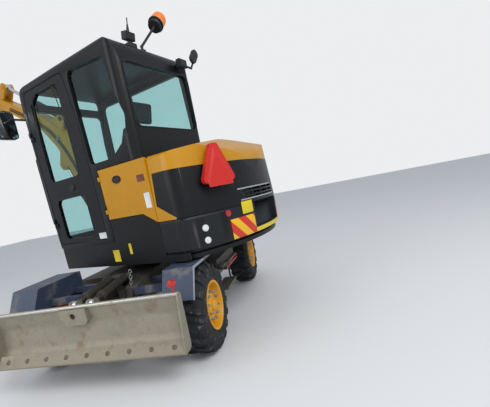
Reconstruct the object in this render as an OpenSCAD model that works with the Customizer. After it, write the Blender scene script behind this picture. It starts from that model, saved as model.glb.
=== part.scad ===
// Compact wheeled excavator, parked on its wheels with the upper body turned to the side.
// The ground is at z = 0, +Z is up, and +X points from the swing axis to the dozer blade.
// The upper body and the front linkage are drawn pointing along +X and then turned about the swing axis.

/* [Undercarriage] */
// Distance between the two axles
wheelbase = 2100; // [1950:10:2250]
// Distance from the swing axis to the axle at the blade end
drive_axle_x = 1140; // [1080:5:1180]
// Distance from the middle plane to the middle of a tyre
tyre_y = 790; // [770:5:820]
// Height of the top of the chassis ring
pedestal_z = 850; // [840:2:856]
// Half the width of the chassis box
chassis_half = 270; // [240:5:290]

/* [Wheels] */
// Radius of a tyre over its lugs
tyre_r = 415; // [400:1:418]
// Width of a tyre
tyre_w = 300; // [280:5:320]
// Height of a tread lug
lug_h = 22; // [16:1:26]
// Number of lugs on each side of a tyre
lug_count = 18; // [14:1:20]
// Radius of a rim over its flange
rim_r = 225; // [215:1:232]

/* [Dozer blade] */
// Half the width of the blade
blade_half = 860; // [800:5:900]
// Height of the blade over its cutting edge
blade_h = 447; // [420:1:470]
// Height of the cutting edge above the ground
blade_lift = 293; // [260:1:320]
// Length of the links that carry the blade
blade_link = 365; // [350:1:375]

/* [Upper body] */
// Angle of the upper body from the blade end
swing_angle = -109; // [-180:1:180]
// Place of the swing axis along X, from the middle of the whole machine
swing_x = 193; // [-300:1:400]
// Place of the swing axis along Y, from the middle of the whole machine
swing_y = 1687; // [1400:1:2000]
// Half the width of the upper body
upper_half = 923; // [900:1:940]
// Radius of the tail
tail_r = 1515; // [1490:1:1540]
// Height of the underside of the upper body
deck_z = 876; // [872:1:890]
// Height of the cab floor line
floor_z = 1115; // [1100:1:1130]
// Height of the top edge of the engine hood at its side
hood_z = 1820; // [1790:1:1850]

/* [Cab] */
// Height of the cab roof
roof_z = 2874; // [2820:1:2900]
// Front of the cab
cab_front = 655; // [630:1:680]
// Rear of the cab
cab_rear = -870; // [-890:1:-850]
// Right side of the cab
cab_right = -92; // [-120:1:-60]
// Thickness of the cab walls
cab_wall = 45; // [35:1:60]

/* [Front linkage] */
// Place of the kingpost axis in front of the swing axis
kingpost_x = 1000; // [980:1:1060]
// Place of the boom to the left of the middle plane
boom_y = -230; // [-260:1:-200]
// Length of the boom between its pins
boom_len = 2900; // [2700:10:3000]
// Angle of the boom above the horizon
boom_angle = 49; // [35:1:52]
// Length of the arm between its pins
arm_len = 1600; // [1450:10:1700]
// Angle of the arm from the horizon
arm_angle = -15; // [-50:1:0]
// Width of the bucket
bucket_w = 600; // [450:10:700]
// Angle of the bucket from the horizon
bucket_angle = -80; // [-120:1:-60]

/* [Hidden] */
$fn = 48;

// Colours
black = "#1d1f22";
dark_grey = "#33373b";
yellow = "#e9a414";
steel = "#b9bdc0";
bare_steel = "#8b8577";
slate = "#39445a";
red = "#d0241a";
orange = "#f07a12";
glass_tint = "#7fa9a6";

// Clearances
pin_gap = 0.05;
seat_gap = 0.3;
move_gap = 5;

// Turns a corner of an outline into an arc.
function unit(v) = v / norm(v);
function arc_angle(v) = atan2(v[1], v[0]);
function short_turn(a) = a > 180 ? a - 360 : (a < -180 ? a + 360 : a);
function fillet(a, b, c, r, steps) =
    let (u = unit(a - b), v = unit(c - b), half = acos(u * v) / 2,
         centre = b + unit(u + v) * r / sin(half),
         from = arc_angle(b + u * r / tan(half) - centre),
         to = arc_angle(b + v * r / tan(half) - centre),
         turn = short_turn(to - from))
    [for (i = [0 : steps]) centre + r * [cos(from + turn * i / steps), sin(from + turn * i / steps)]];
// An outline from rows of [x, y, corner radius]
function outline(rows, steps = 5) =
    let (n = len(rows), p = [for (q = rows) [q[0], q[1]]])
    [for (i = [0 : n - 1]) each rows[i][2] > 0
        ? fillet(p[(i + n - 1) % n], p[i], p[(i + 1) % n], rows[i][2], steps) : [p[i]]];

module slab_y(y0, y1) translate([0, y1, 0]) rotate([90, 0, 0]) linear_extrude(y1 - y0) children();
module slab_x(x0, x1) translate([x0, 0, 0]) rotate([90, 0, 90]) linear_extrude(x1 - x0) children();
module slab_z(z0, z1) translate([0, 0, z0]) linear_extrude(z1 - z0) children();
module rod_y(r, y0, y1) translate([0, y1, 0]) rotate([90, 0, 0]) cylinder(r = r, h = y1 - y0);
module box(lo, hi) translate(lo) cube(hi - lo);
module both_sides() { children(); mirror([0, 1, 0]) children(); }
module undercarriage() translate([swing_x, swing_y, 0]) children();
module upper() translate([swing_x, swing_y, 0]) rotate(swing_angle) children();

// Undercarriage
steer_axle_x = drive_axle_x - wheelbase;
axle_z = tyre_r;
axle_tube_r = 75;
hub_r = 118;
disc_y = tyre_y + 70;
hub_inner_y = tyre_y - tyre_w / 2 - 25;
frame_low = 520;
frame_top = 780;
axle_seat_z = 560;
pedestal_r = 430;
kingpin_y = hub_inner_y - 60;

module chassis_frame() undercarriage() color(dark_grey) {
    chassis_box();
    for (side = [-1, 1]) slab_y(side * 134.5 - 11, side * 134.5 + 11) cylinder_ear();
    slab_y(-cyl_y + eye_w / 2 + 0.5, cyl_y - eye_w / 2 - 0.5) cylinder_ear();
    translate([cyl_base[0], 0, cyl_base[1]]) rod_y(16, -145, 145);
}
module chassis_box() difference() {
    union() {
        slab_y(-chassis_half, chassis_half)
            polygon(outline([[steer_axle_x - 250, axle_seat_z, 0], [steer_axle_x + 200, axle_seat_z, 30],
                [steer_axle_x + 320, frame_low, 30], [drive_axle_x - 290, frame_low, 30],
                [drive_axle_x - 180, axle_seat_z, 30], [drive_axle_x + 110, axle_seat_z, 0],
                [drive_axle_x + 110, frame_top - 60, 30], [drive_axle_x - 300, frame_top, 40],
                [steer_axle_x + 300, frame_top, 40], [steer_axle_x - 250, frame_top - 80, 30]]));
        translate([0, 0, 600]) cylinder(r = pedestal_r, h = pedestal_z - 600);
        for (side = [-1, 1]) {
            slab_y(side * 190 - 25, side * 190 + 25)
                polygon([[drive_axle_x + 60, axle_seat_z + 1], [drive_axle_x + 106, axle_seat_z + 1], [drive_axle_x + 106, 320],
                    [blade_pivot[0] - 25, 250], [blade_pivot[0] + 20, 240],
                    [blade_pivot[0] + 45, 265], [top_pivot[0] + 45, top_pivot[1] + 40], [drive_axle_x + 110, 700]]);
        }
    }
    box([cyl_base[0] - 50, -145.5, axle_seat_z + 25], [drive_axle_x + 200, 145.5, 900]);
    translate([0, 0, 500]) cylinder(r = 250, h = 400);
    for (p = [blade_pivot, top_pivot]) translate([p[0], 0, p[1]]) rod_y(link_pin_r + pin_gap, -400, 400);
}

module cylinder_ear() polygon(outline([[cyl_base[0] - 50, axle_seat_z + 20, 0], [cyl_base[0] + 10, axle_seat_z + 20, 0],
    [cyl_base[0] + 34, cyl_base[1], 30], [cyl_base[0] + 34, cyl_base[1] + 32, 30], [cyl_base[0] - 34, cyl_base[1] + 32, 30],
    [cyl_base[0] - 51, 740, 0]]));
module slew_ring() undercarriage() color(steel) translate([0, 0, pedestal_z]) difference() {
    cylinder(r = 400, h = deck_z - pedestal_z - 0.5);
    translate([0, 0, -1]) cylinder(r = 330, h = 100);
}

module drive_axle() undercarriage() color(black) translate([drive_axle_x, 0, axle_z]) {
    difference() {
        union() {
            rod_y(axle_tube_r, -hub_inner_y + seat_gap, hub_inner_y - seat_gap);
            rod_y(112, -100, 100);
            both_sides() translate([0, 100, 0]) rotate([-90, 0, 0]) cylinder(r1 = 112, r2 = axle_tube_r, h = 70);
            both_sides() rod_y(105, hub_inner_y - 60, hub_inner_y - seat_gap);
            translate([0, 0, 0]) box([-84, -chassis_half + 20, 40], [84, chassis_half - 20, axle_seat_z - axle_z]);
        }
    }
}

module steer_axle() undercarriage() color(black) translate([steer_axle_x, 0, axle_z]) difference() {
    union() {
        rod_y(axle_tube_r - 10, -kingpin_y + 100, kingpin_y - 100);
        rod_y(115, -100, 100);
        both_sides() translate([0, 100, 0]) rotate([-90, 0, 0]) cylinder(r1 = 115, r2 = axle_tube_r - 10, h = 90);
        box([-80, -120, 40], [80, 120, axle_seat_z - axle_z]);
        both_sides() for (z = [-95, 65])
            translate([0, kingpin_y, z]) cylinder(r = 45, h = 30);
        both_sides() for (z = [-95, 65])
            translate([0, 0, z]) box([-40, kingpin_y - 120, 0], [40, kingpin_y, 30]);
        both_sides() box([-40, kingpin_y - 120, -95], [40, kingpin_y - 90, 95]);
    }
    both_sides() translate([0, kingpin_y, -200]) cylinder(r = 22 + pin_gap, h = 400);
}

module knuckle() {
    color(dark_grey) {
        translate([0, kingpin_y, 0]) {
            translate([0, 0, -95]) cylinder(r = 22, h = 190);
            translate([0, 0, -65 + seat_gap]) cylinder(r = 52, h = 130 - 2 * seat_gap);
        }
        rod_y(60, kingpin_y, hub_inner_y - seat_gap);
        translate([0, 0, -20]) slab_z(0, 25) polygon([[0, kingpin_y + 30], [0, kingpin_y - 30], [-190, kingpin_y - 30],
            [-190, kingpin_y + 10]]);
    }
}
module knuckle_left() undercarriage() translate([steer_axle_x, 0, axle_z]) knuckle();
module knuckle_right() undercarriage() translate([steer_axle_x, 0, axle_z]) mirror([0, 1, 0]) knuckle();

// Wheels, drawn with the outer side towards +Y
half_w = tyre_w / 2;
tread_r = tyre_r - lug_h;
seat_r = rim_r - 20;
module tyre_shape() {
    rotate([-90, 0, 0]) rotate_extrude()
        polygon(outline([[seat_r + seat_gap, -half_w + 22, 0], [rim_r + 20, -half_w + 10, 10], [rim_r + 85, -half_w, 50],
            [tread_r - 34, -half_w + 10, 30], [tread_r - 4, -half_w + 40, 16], [tread_r + 4, 0, 0],
            [tread_r - 4, half_w - 40, 16], [tread_r - 34, half_w - 10, 30], [rim_r + 85, half_w, 50],
            [rim_r + 20, half_w - 10, 10], [seat_r + seat_gap, half_w - 22, 0]], 2));
    intersection() {
        for (i = [0 : lug_count - 1], side = [-1, 1])
            rotate([0, (i + (side > 0 ? 0.5 : 0)) * 360 / lug_count, 0]) lug(side);
        rotate([-90, 0, 0]) rotate_extrude() polygon(outline([[tread_r - 92, -half_w + 2, 0],
            [tyre_r - 46, -half_w + 1, 24], [tyre_r, -half_w + 40, 24], [tyre_r, half_w - 40, 24],
            [tyre_r - 46, half_w - 1, 24], [tread_r - 92, half_w - 2, 0]], 2));
    }
}
module lug(side) {
    translate([0, 0, tread_r - 90]) linear_extrude(lug_h + 100)
        polygon([[-20, side * -8], [22, side * -8], [48, side * 60], [76, side * (half_w + 5)], [26, side * (half_w + 5)],
            [4, side * 60]]);
}
module rim_shape() {
    rotate([-90, 0, 0]) rotate_extrude()
        polygon([[0, 105], [60, 105], [80, 88], [120, 88], [150, 60], [seat_r - 14, 60], [seat_r - 14, -half_w + 14],
            [rim_r, -half_w + 6], [rim_r, -half_w + 14], [seat_r, -half_w + 22], [seat_r, half_w - 22],
            [rim_r, half_w - 14], [rim_r, half_w - 4], [seat_r, half_w - 8], [seat_r - 14, 74], [155, 74],
            [125, 104], [86, 104], [66, 122], [0, 122]]);
    rod_y(hub_r, hub_inner_y - tyre_y, 92);
}
module wheel_at(x, left) undercarriage() translate([x, 0, axle_z]) mirror([0, left ? 0 : 1, 0])
    translate([0, tyre_y, 0]) children();
module tyre_drive_left() wheel_at(drive_axle_x, true) color(black) tyre_shape();
module tyre_drive_right() wheel_at(drive_axle_x, false) color(black) tyre_shape();
module tyre_steer_left() wheel_at(steer_axle_x, true) color(black) tyre_shape();
module tyre_steer_right() wheel_at(steer_axle_x, false) color(black) tyre_shape();
module rim_drive_left() wheel_at(drive_axle_x, true) color(yellow) rim_shape();
module rim_drive_right() wheel_at(drive_axle_x, false) color(yellow) rim_shape();
module rim_steer_left() wheel_at(steer_axle_x, true) color(yellow) rim_shape();
module rim_steer_right() wheel_at(steer_axle_x, false) color(yellow) rim_shape();

// Mudguards over the wheels at the blade end, each on two arms from the chassis
fender_top = 858;
fender_t = 8;
fender_in = 625;
fender_out = 905;
fender_lip = 14;
module fender_line(t) polygon([[drive_axle_x - 330, fender_top], [drive_axle_x + 260, fender_top],
    [drive_axle_x + 400, 620], [drive_axle_x + 400 - t, 620], [drive_axle_x + 260 - t, fender_top - t],
    [drive_axle_x - 330, fender_top - t]]);
module fenders() undercarriage() color(slate) both_sides() {
    slab_y(fender_in, fender_out) fender_line(fender_t);
    slab_y(fender_out - 6, fender_out) fender_line(fender_t + fender_lip);
    slab_y(fender_in, fender_in + fender_t) polygon([[drive_axle_x - 330, fender_top], [drive_axle_x + 260, fender_top],
        [drive_axle_x + 400, 620], [drive_axle_x + 270, 600], [drive_axle_x - 330, 700]]);
    for (x = [-240, 110]) box([drive_axle_x + x, chassis_half + seat_gap, 655], [drive_axle_x + x + 60, fender_in + 1, 715]);
}

// Steps on both sides between the wheels
module steps() undercarriage() color(dark_grey) both_sides() {
    difference() {
        union() {
            box([-200, 440, 540], [600, 850, 700]);
            for (x = [-200, 500]) box([x, chassis_half + seat_gap, 610], [x + 60, 441, 660]);
        }
        box([-170, 439, 530], [570, 820, 690]);
        translate([0, 0, 500]) cylinder(r = pedestal_r + seat_gap, h = 400);
    }
    // Upper tread, lower tread on its hangers, and the rails between them
    for (row = [[400, 849, 600, 600, 905], [120, 760, 350, 560, 910]]) difference() {
        box([row[0], row[1], row[2]], [row[3], row[4], row[2] + 24]);
        for (x = [row[0] + 20 : 44 : row[3] - 50])
            box([x, max(row[1], 850) + 8, row[2] - 1], [x + 30, row[4] - 8, row[2] + 25]);
    }
    for (x = [120, 540]) box([x, 830, 350], [x + 20, 849, 560]);
    for (z = [545, 590]) translate([-170, 880, z]) rotate([0, 90, 0]) cylinder(r = 9, h = 560, $fn = 16);
    for (x = [-170, 375]) box([x, 849, 535], [x + 14, 892, 600]);
}

// Blade and its parallel links, with rows of [x, z] pivots
link_pin_r = 20;
blade_x = 1790;
blade_angle = 24;
blade_pivot = [1276, 290];
link_rise = 180;
top_pivot = [blade_pivot[0], blade_pivot[1] + link_rise];
blade_eye = blade_pivot + blade_link * [cos(blade_angle), sin(blade_angle)];
top_eye = blade_eye + [0, link_rise];
cyl_base = [1090, 790];
cyl_eye = [1625, 730];
cyl_y = 80;
eye_w = 86;

module bar_y(a, b, r, y0, y1) slab_y(y0, y1) hull() for (p = [a, b]) translate(p) circle(r = r, $fn = 24);
module blade_links() undercarriage() color(dark_grey) difference() {
    union() {
        both_sides() bar_y(blade_pivot, blade_eye, 45, 220.5, 260);
        box([1420, -220.5, 330], [1470, 220.5, 390]);
        both_sides() translate([blade_pivot[0], 0, blade_pivot[1]]) rod_y(link_pin_r, 160, 221);
        both_sides() translate([blade_eye[0], 0, blade_eye[1]]) rod_y(link_pin_r, 170, 221);
    }
}
module blade_top_link() undercarriage() color(dark_grey) {
    bar_y(top_pivot, top_eye, 32, -150, -120);
    bar_y(top_pivot, top_eye, 32, 120, 150);
    translate([top_pivot[0], 0, top_pivot[1]]) rod_y(link_pin_r, -215, 215);
    translate([top_eye[0], 0, top_eye[1]]) rod_y(link_pin_r, -215, 215);
}
module blade() undercarriage() color(bare_steel) difference() {
    union() {
        slab_y(-blade_half, blade_half) polygon(outline([[blade_x - 82, blade_lift + blade_h, 0],
            [blade_x - 115, blade_lift + 300, 120], [blade_x - 95, blade_lift + 120, 120], [blade_x - 8, blade_lift + 10, 0],
            [blade_x - 30, blade_lift + 10, 0], [blade_x - 112, blade_lift + 115, 120], [blade_x - 130, blade_lift + 300, 120],
            [blade_x - 98, blade_lift + blade_h, 0]]));
        // Bolted cutting edge
        slab_y(-blade_half, blade_half) polygon([[blade_x - 62, blade_lift + 96], [blade_x - 72, blade_lift + 84],
            [blade_x - 18, blade_lift], [blade_x, blade_lift], [blade_x, blade_lift + 12]]);
        // Turned top edge
        slab_y(-blade_half, blade_half) polygon([[blade_x - 98, blade_lift + blade_h - 12], [blade_x - 76, blade_lift + blade_h - 12],
            [blade_x - 72, blade_lift + blade_h], [blade_x - 104, blade_lift + blade_h]]);
        both_sides() slab_y(blade_half - 12, blade_half) polygon(outline([[blade_x - 130, blade_lift + blade_h, 10],
            [blade_x - 66, blade_lift + blade_h, 20], [blade_x - 30, blade_lift + 240, 120], [blade_x, blade_lift + 40, 30],
            [blade_x, blade_lift, 0], [blade_x - 120, blade_lift, 40]]));
        for (side = [-1, 1]) slab_y(side * 190 - 20, side * 190 + 20)
            polygon([[blade_x - 115, 700], [blade_eye[0] - 40, top_eye[1] + 30], [blade_eye[0] - 40, blade_eye[1] - 40],
                [blade_x - 110, blade_eye[1] - 60]]);
        // Ribs on the back
        for (side = [-1, 1], y = [480, 760]) slab_y(side * y - 6, side * y + 6) polygon([[blade_x - 106, blade_lift + blade_h - 30],
            [blade_x - 150, blade_lift + 330], [blade_x - 150, blade_lift + 200], [blade_x - 92, blade_lift + 84],
            [blade_x - 118, blade_lift + 180], [blade_x - 124, blade_lift + 290]]);
        for (side = [-1, 1], y = [cyl_y - 23.5 - 12, cyl_y + 23.5]) slab_y(side > 0 ? y : -y - 12, side > 0 ? y + 12 : -y)
            polygon(outline([[blade_x - 105, cyl_eye[1] - 90, 0], [blade_x - 105, cyl_eye[1] - 10, 0], [cyl_eye[0] + 30, cyl_eye[1] + 35, 30],
                [cyl_eye[0] - 35, cyl_eye[1] + 35, 30], [cyl_eye[0] - 35, cyl_eye[1] - 35, 30]]));
        for (side = [-1, 1], y = [cyl_y - 41.5, cyl_y + 35.4]) translate([cyl_eye[0], 0, cyl_eye[1]])
            rod_y(17, side > 0 ? y : -y - 6, side > 0 ? y + 6 : -y);
        tow_bracket();
    }
    translate([blade_x - 90, tow_y, tow_z]) rotate([0, 90, 0]) cylinder(r = tow_r, h = 60);
    for (p = [blade_eye, top_eye]) translate([p[0], 0, p[1]]) rod_y(link_pin_r + pin_gap, -400, 400);
}
// Box with an open underside and cut corners, for the tow pin
module tow_bracket() difference() {
    slab_x(blade_x - 125, blade_x - 60) polygon([[-145, blade_lift + 300], [45, blade_lift + 300], [70, blade_lift + 330],
        [70, blade_lift + 432], [-170, blade_lift + 432], [-170, blade_lift + 330]]);
    slab_x(blade_x - 111, blade_x - 72) polygon([[-160, blade_lift + 260], [60, blade_lift + 260], [60, blade_lift + 422],
        [-160, blade_lift + 422]]);
}
// Red marker lamps on short stalks
module blade_lamps() undercarriage() color(red) both_sides()
    translate([blade_x - 84, blade_half - 30, blade_lift + blade_h + seat_gap]) {
        cylinder(r = 7, h = 60, $fn = 16);
        translate([-10, 0, 82]) rotate([0, 90, 0]) cylinder(r = 30, h = 22);
        translate([12, 0, 82]) rotate([0, 90, 0]) cylinder(r1 = 30, r2 = 22, h = 8);
    }

// A hydraulic cylinder lies along +X from its base eye; its parts are drawn at the closed end's place
module cylinder_barrel(length, r, rod_r, eye_r, eye_w, pin_r) {
    difference() {
        union() {
            rod_y(eye_r, -eye_w / 2, eye_w / 2);
            rotate([0, 90, 0]) translate([0, 0, eye_r * 0.6]) cylinder(r = r, h = length - eye_r * 0.6);
            rotate([0, 90, 0]) translate([0, 0, length - 45]) cylinder(r = r + 5, h = 45);
        }
        rotate([0, 90, 0]) translate([0, 0, eye_r + 12]) cylinder(r = rod_r + pin_gap, h = length);
        rod_y(pin_r + pin_gap, -eye_w, eye_w);
    }
}
module cylinder_rod(length, rod_r, eye_r, eye_w, pin_r, inside) {
    difference() {
        union() {
            rotate([0, 90, 0]) translate([0, 0, inside]) cylinder(r = rod_r, h = length - inside - eye_r * 0.7);
            translate([length, 0, 0]) rod_y(eye_r, -eye_w / 2, eye_w / 2);
        }
        translate([length, 0, 0]) rod_y(pin_r, -eye_w, eye_w);
    }
}
module along(a, b, y) translate([a[0], y, a[1]]) rotate([0, -atan2(b[1] - a[1], b[0] - a[0]), 0]) children();

tow_y = -55;
tow_z = blade_lift + 375;
tow_r = 25;
blade_cyl_len = norm(cyl_eye - cyl_base);
module blade_barrels() undercarriage() for (y = [-cyl_y, cyl_y])
    color(dark_grey) along(cyl_base, cyl_eye, y) cylinder_barrel(blade_cyl_len - 110, 38, 20, 30, eye_w, 16);
module blade_rods() undercarriage() for (y = [-cyl_y, cyl_y])
    color(steel) along(cyl_base, cyl_eye, y) cylinder_rod(blade_cyl_len, 20, 32, 46, 18, 120);

// Upper body
seam_x = -935;
cw_z0 = 943;
cw_z1 = 1245;
cw_t = 190;
corner_r = 160;
skin_t = 14;
hinge_x = seam_x + 12;
hinge_z = hood_z + 92;
panel_z1 = 1672;
module plan(inset = 0, front = cab_front) intersection() {
    offset(r = corner_r, $fn = 96) offset(delta = -corner_r) intersection() {
        circle(r = tail_r - inset, $fn = 120);
        square([4 * tail_r, 2 * (upper_half - inset)], center = true);
    }
    translate([-2 * tail_r, -tail_r]) square([2 * tail_r + front, 2 * tail_r]);
}
// A wall that leans in towards the top as the hood does
module leaning(inset, z0, z1, front) {
    lean = 0.07;
    translate([0, 0, z0]) linear_extrude(z1 - z0, scale = (tail_r - lean * (z1 - z0)) / tail_r)
        plan(inset + lean * max(0, z0 - cw_z1 - 5), front);
}
module upper_frame() upper() color(black) {
    difference() {
        union() {
            slab_z(deck_z, deck_z + 40) plan(45, 600);
            slab_z(deck_z + 39, cw_z0 - seat_gap) difference() { plan(90, seam_x - 60); circle(r = tail_r - cw_t + 20); }
            slab_x(seam_x + 10, seam_x + 25) polygon([[-upper_half + 45, deck_z], [upper_half - 45, deck_z],
                [upper_half - 45, hood_z - 50], [180, hinge_z - 16], [-180, hinge_z - 16], [-upper_half + 45, hood_z - 50]]);
            for (x = [-200, 500], y = [90, upper_half - 133]) translate([x, y, deck_z]) cylinder(r = 60, h = floor_z - deck_z - seat_gap);
            for (side = [-1, 1], y = [128, 160.3]) translate([hinge_x, 0, hinge_z])
                rod_y(12, side > 0 ? y : -y - 11.7, side > 0 ? y + 11.7 : -y);
            for (side = [-1, 1], y = [128, 160.3])
                box([seam_x + 10, side > 0 ? y : -y - 11.7, hinge_z - 30], [hinge_x, side > 0 ? y + 11.7 : -y, hinge_z]);
            slab_z(deck_z, deck_z + 70) polygon([[500, boom_y - 260], [kingpost_x - 20, boom_y - 90],
                [kingpost_x + 20, boom_y - 90], [kingpost_x + 90, boom_y - 40], [kingpost_x + 90, boom_y + 40],
                [kingpost_x + 20, boom_y + 90], [kingpost_x - 20, boom_y + 90], [500, boom_y + 260]]);
            slab_z(deck_z + 240, deck_z + 300) polygon([[600, boom_y - 180], [kingpost_x, boom_y - 90],
                [kingpost_x + 90, boom_y - 30], [kingpost_x + 90, boom_y + 30], [kingpost_x, boom_y + 90],
                [600, boom_y + 130]]);
            box([560, boom_y - 200, deck_z], [660, boom_y + 130, deck_z + 300]);
        }
        translate([kingpost_x, boom_y, 0]) cylinder(r = 35 + pin_gap, h = 2000);
    }
}
// Tail weight with a rounded lower edge and a recess at the rear
recess = [174, 198];
module counterweight() upper() color(dark_grey) difference() {
    union() {
        translate([0, 0, cw_z0]) linear_extrude(22, scale = tail_r / (tail_r - 14)) plan(14, seam_x - 5);
        slab_z(cw_z0 + 21, cw_z1 - 20) plan(0, seam_x - 5);
        translate([0, 0, cw_z1 - 21]) linear_extrude(21, scale = (tail_r - 8) / tail_r) plan(0, seam_x - 5);
    }
    translate([0, 0, cw_z0 - 1]) linear_extrude(400) intersection() {
        circle(r = tail_r - cw_t);
        square([4 * tail_r, 2 * (upper_half - 60)], center = true);
    }
    translate([seam_x - 5, -tail_r, cw_z0 - 1]) cube([tail_r, 2 * tail_r, 400]);
    intersection() {
        slab_z(cw_z0 + 57, cw_z1 + 1) difference() { circle(r = tail_r + 50); circle(r = tail_r - 60); }
        for (a = [recess[0] : 6 : recess[1] - 6]) rotate(a - 0.05) linear_extrude(2000)
            polygon([[0, 0], [2000, 0], 2000 * [cos(6.1), sin(6.1)]]);
    }
}
module engine() upper() color(steel) {
    rear = -sqrt((tail_r - cw_t) * (tail_r - cw_t) - 420 * 420) + 12;
    box([rear, -420, deck_z + 40 + seat_gap], [seam_x + 10 - seat_gap, 300, 1650]);
}

// Engine hood: a yellow top and front strip, and a dark door around the side and the rear
module hood_form(inset) intersection() {
    leaning(inset, cw_z1 + 5, hood_z + 160, seam_x);
    slab_x(-2 * tail_r, seam_x) polygon(outline([[-upper_half - 9, cw_z1, 0], [upper_half + 9, cw_z1, 0],
        [upper_half - 10 - inset, hood_z - inset, 70], [0, hood_z + 130 - inset, 900], [-upper_half + 10 + inset, hood_z - inset, 70]]));
    slab_y(-2 * upper_half, 2 * upper_half) polygon(outline([[seam_x + 10, cw_z1, 0], [seam_x + 10, hood_z + 150 - inset, 0],
        [-1150, hood_z + 140 - inset, 300], [-tail_r + 55 + inset, hood_z - 50 - inset, 120], [-tail_r - 30, cw_z1, 0]]));
}
module hood_skin() difference() {
    hood_form(0);
    translate([0, 0, -1]) hood_form(skin_t);
}
// Outline of the dark door from the side, with its corner cut at the lower front
module door_region(grow) slab_y(-2 * tail_r, 2 * tail_r) offset(delta = grow) polygon([[-966, panel_z1], [-953, 1387], [-1150, 1266],
    [-1150, 1000], [-2 * tail_r, 1000], [-2 * tail_r, panel_z1]]);
module hood() upper() color(yellow) {
    difference() {
        hood_skin();
        door_region(seat_gap);
    }
    for (side = [-1, 1]) {
        translate([hinge_x, 0, hinge_z]) rod_y(12, side * 150 - 10, side * 150 + 10);
        box([seam_x - 30, side * 150 - 10, hinge_z - 60], [seam_x, side * 150 + 10, hinge_z + 10]);
        box([seam_x - 30, side * 150 - 10, hinge_z - 8], [hinge_x, side * 150 + 10, hinge_z + 8]);
    }
}
grille_z = [1292, 1330, 1368];
module engine_door() upper() color(black) difference() {
    intersection() {
        hood_skin();
        door_region(0);
    }
    // Slots of the rear grille and of the vent on the right
    for (z = grille_z) intersection() {
        slab_z(z, z + 22) difference() { circle(r = tail_r + 50); circle(r = tail_r - 250); }
        for (a = [168 : 7 : 189]) rotate(a) linear_extrude(2000) polygon([[0, 0], [2000, 0], 2000 * [cos(6.4), sin(6.4)]]);
    }
    for (x = [-1110, -1060, -1010]) box([x, -upper_half - 20, 1430], [x + 26, -upper_half + 100, 1620]);
}
module side_panels() upper() color(black) {
    both_sides() box([seam_x - 4, upper_half - 40 + seat_gap, deck_z], [600, upper_half, floor_z - seat_gap]);
    both_sides() intersection() {
        slab_z(deck_z, cw_z0 - seat_gap) plan(0, seam_x - 3);
        box([-1190, upper_half - 40, deck_z - 1], [seam_x, upper_half + 1, cw_z0]);
    }
    slab_y(upper_half - 40, upper_half) polygon([[seam_x, floor_z], [-305, floor_z], [-305, battery_low[0] - 5],
        [-770, battery_low[0] - 5], [-925, battery_low[1] - 5], [seam_x, battery_low[1] - 5]]);
    box([562, 35, deck_z + 40 + seat_gap], [600, upper_half - 40, floor_z - seat_gap]);
}
battery_low = [1345, 1255];
module battery_door() upper() color(yellow) {
    slab_y(upper_half - 30, upper_half) polygon(outline([[seam_x + 5, battery_low[1], 0], [-925, battery_low[1], 0],
        [-770, battery_low[0], 40], [-305, battery_low[0], 0], [-305, hood_z + 4, 0], [seam_x + 5, hood_z + 4, 0]]));
    for (z = battery_hinges) {
        translate([-300, upper_half + 8, z]) cylinder(r = 7, h = 40);
        box([-320, upper_half, z], [-300, upper_half + 8, z + 40]);
    }
}
battery_hinges = [1400, 1720];
module tank_side(inset) polygon(outline([[seam_x + 26 + inset, floor_z - (inset > 0 ? 1 : 0), 0],
    [540 - inset, floor_z - (inset > 0 ? 1 : 0), 0], [540 - inset, 1350, 120], [200, 1620 - inset, 200],
    [seam_x + 26 + inset, 1790 - inset, 60]]));
// Cover over the tanks, with vent slots in its side
module tank_cover() upper() color(dark_grey) difference() {
    slab_y(-upper_half, cab_right - 40) tank_side(0);
    slab_y(-upper_half + 30, cab_right - 70) tank_side(30);
    for (z = [1290 : 45 : 1560]) box([-820, -upper_half - 1, z], [-380, -upper_half + 31, z + 22]);
    box([-331, -upper_half - 1, floor_z - 1], [-325, -upper_half + 6, 1760]);
}

// Cab
door_x0 = -210;
door_x1 = 590;
module cab_side() polygon(outline([[cab_front - 35, floor_z, 20], [cab_front, 1500, 200], [cab_front, 2300, 300],
    [cab_front - 50, roof_z - 15, 100], [-560, roof_z + 15, 300], [cab_rear + 30, roof_z - 10, 120], [cab_rear, 2640, 80],
    [cab_rear, hood_z + 10, 0], [-300, hood_z + 10, 0], [-300, floor_z, 0]]));
// Cross-section of the cab from the rear and its plan, with the corners rounded
module cab_section(inset) polygon(outline([[cab_right + inset, floor_z - 1, 0], [upper_half - inset, floor_z - 1, 0],
    [upper_half - inset, roof_z + 12 - inset, 60], [cab_right + inset, roof_z + 12 - inset, 60]]));
module cab_plan(inset) polygon(outline([[cab_rear + inset - 1, cab_right + inset, 60], [cab_front + 1 - inset, cab_right + inset, 40],
    [cab_front + 1 - inset, upper_half - inset, 40], [cab_rear + inset - 1, upper_half - inset, 90]]));
module cab_block() intersection() {
    slab_y(cab_right, upper_half) cab_side();
    slab_x(cab_rear - 2, cab_front + 2) cab_section(0);
    slab_z(floor_z, roof_z + 20) cab_plan(0);
}
module cab_inside() polygon(outline([[cab_front - 35 - cab_wall, floor_z + 40, 20], [cab_front - cab_wall, 1500, 200],
    [cab_front - cab_wall, 2300, 300], [cab_front - 50 - cab_wall, roof_z - 15 - cab_wall, 60],
    [-560, roof_z + 10 - cab_wall, 200], [cab_rear + 30 + cab_wall, roof_z - 15 - cab_wall, 80],
    [cab_rear + cab_wall, 2600, 30], [cab_rear + cab_wall, hood_z + 10 + 30, 0], [-300 + cab_wall, hood_z + 40, 0],
    [-300 + cab_wall, floor_z + 40, 0]]));
module cab_space() intersection() {
    slab_y(cab_right + cab_wall, upper_half - cab_wall) cab_inside();
    slab_x(cab_rear, cab_front) cab_section(cab_wall);
    slab_z(floor_z, roof_z) cab_plan(cab_wall);
}
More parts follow.
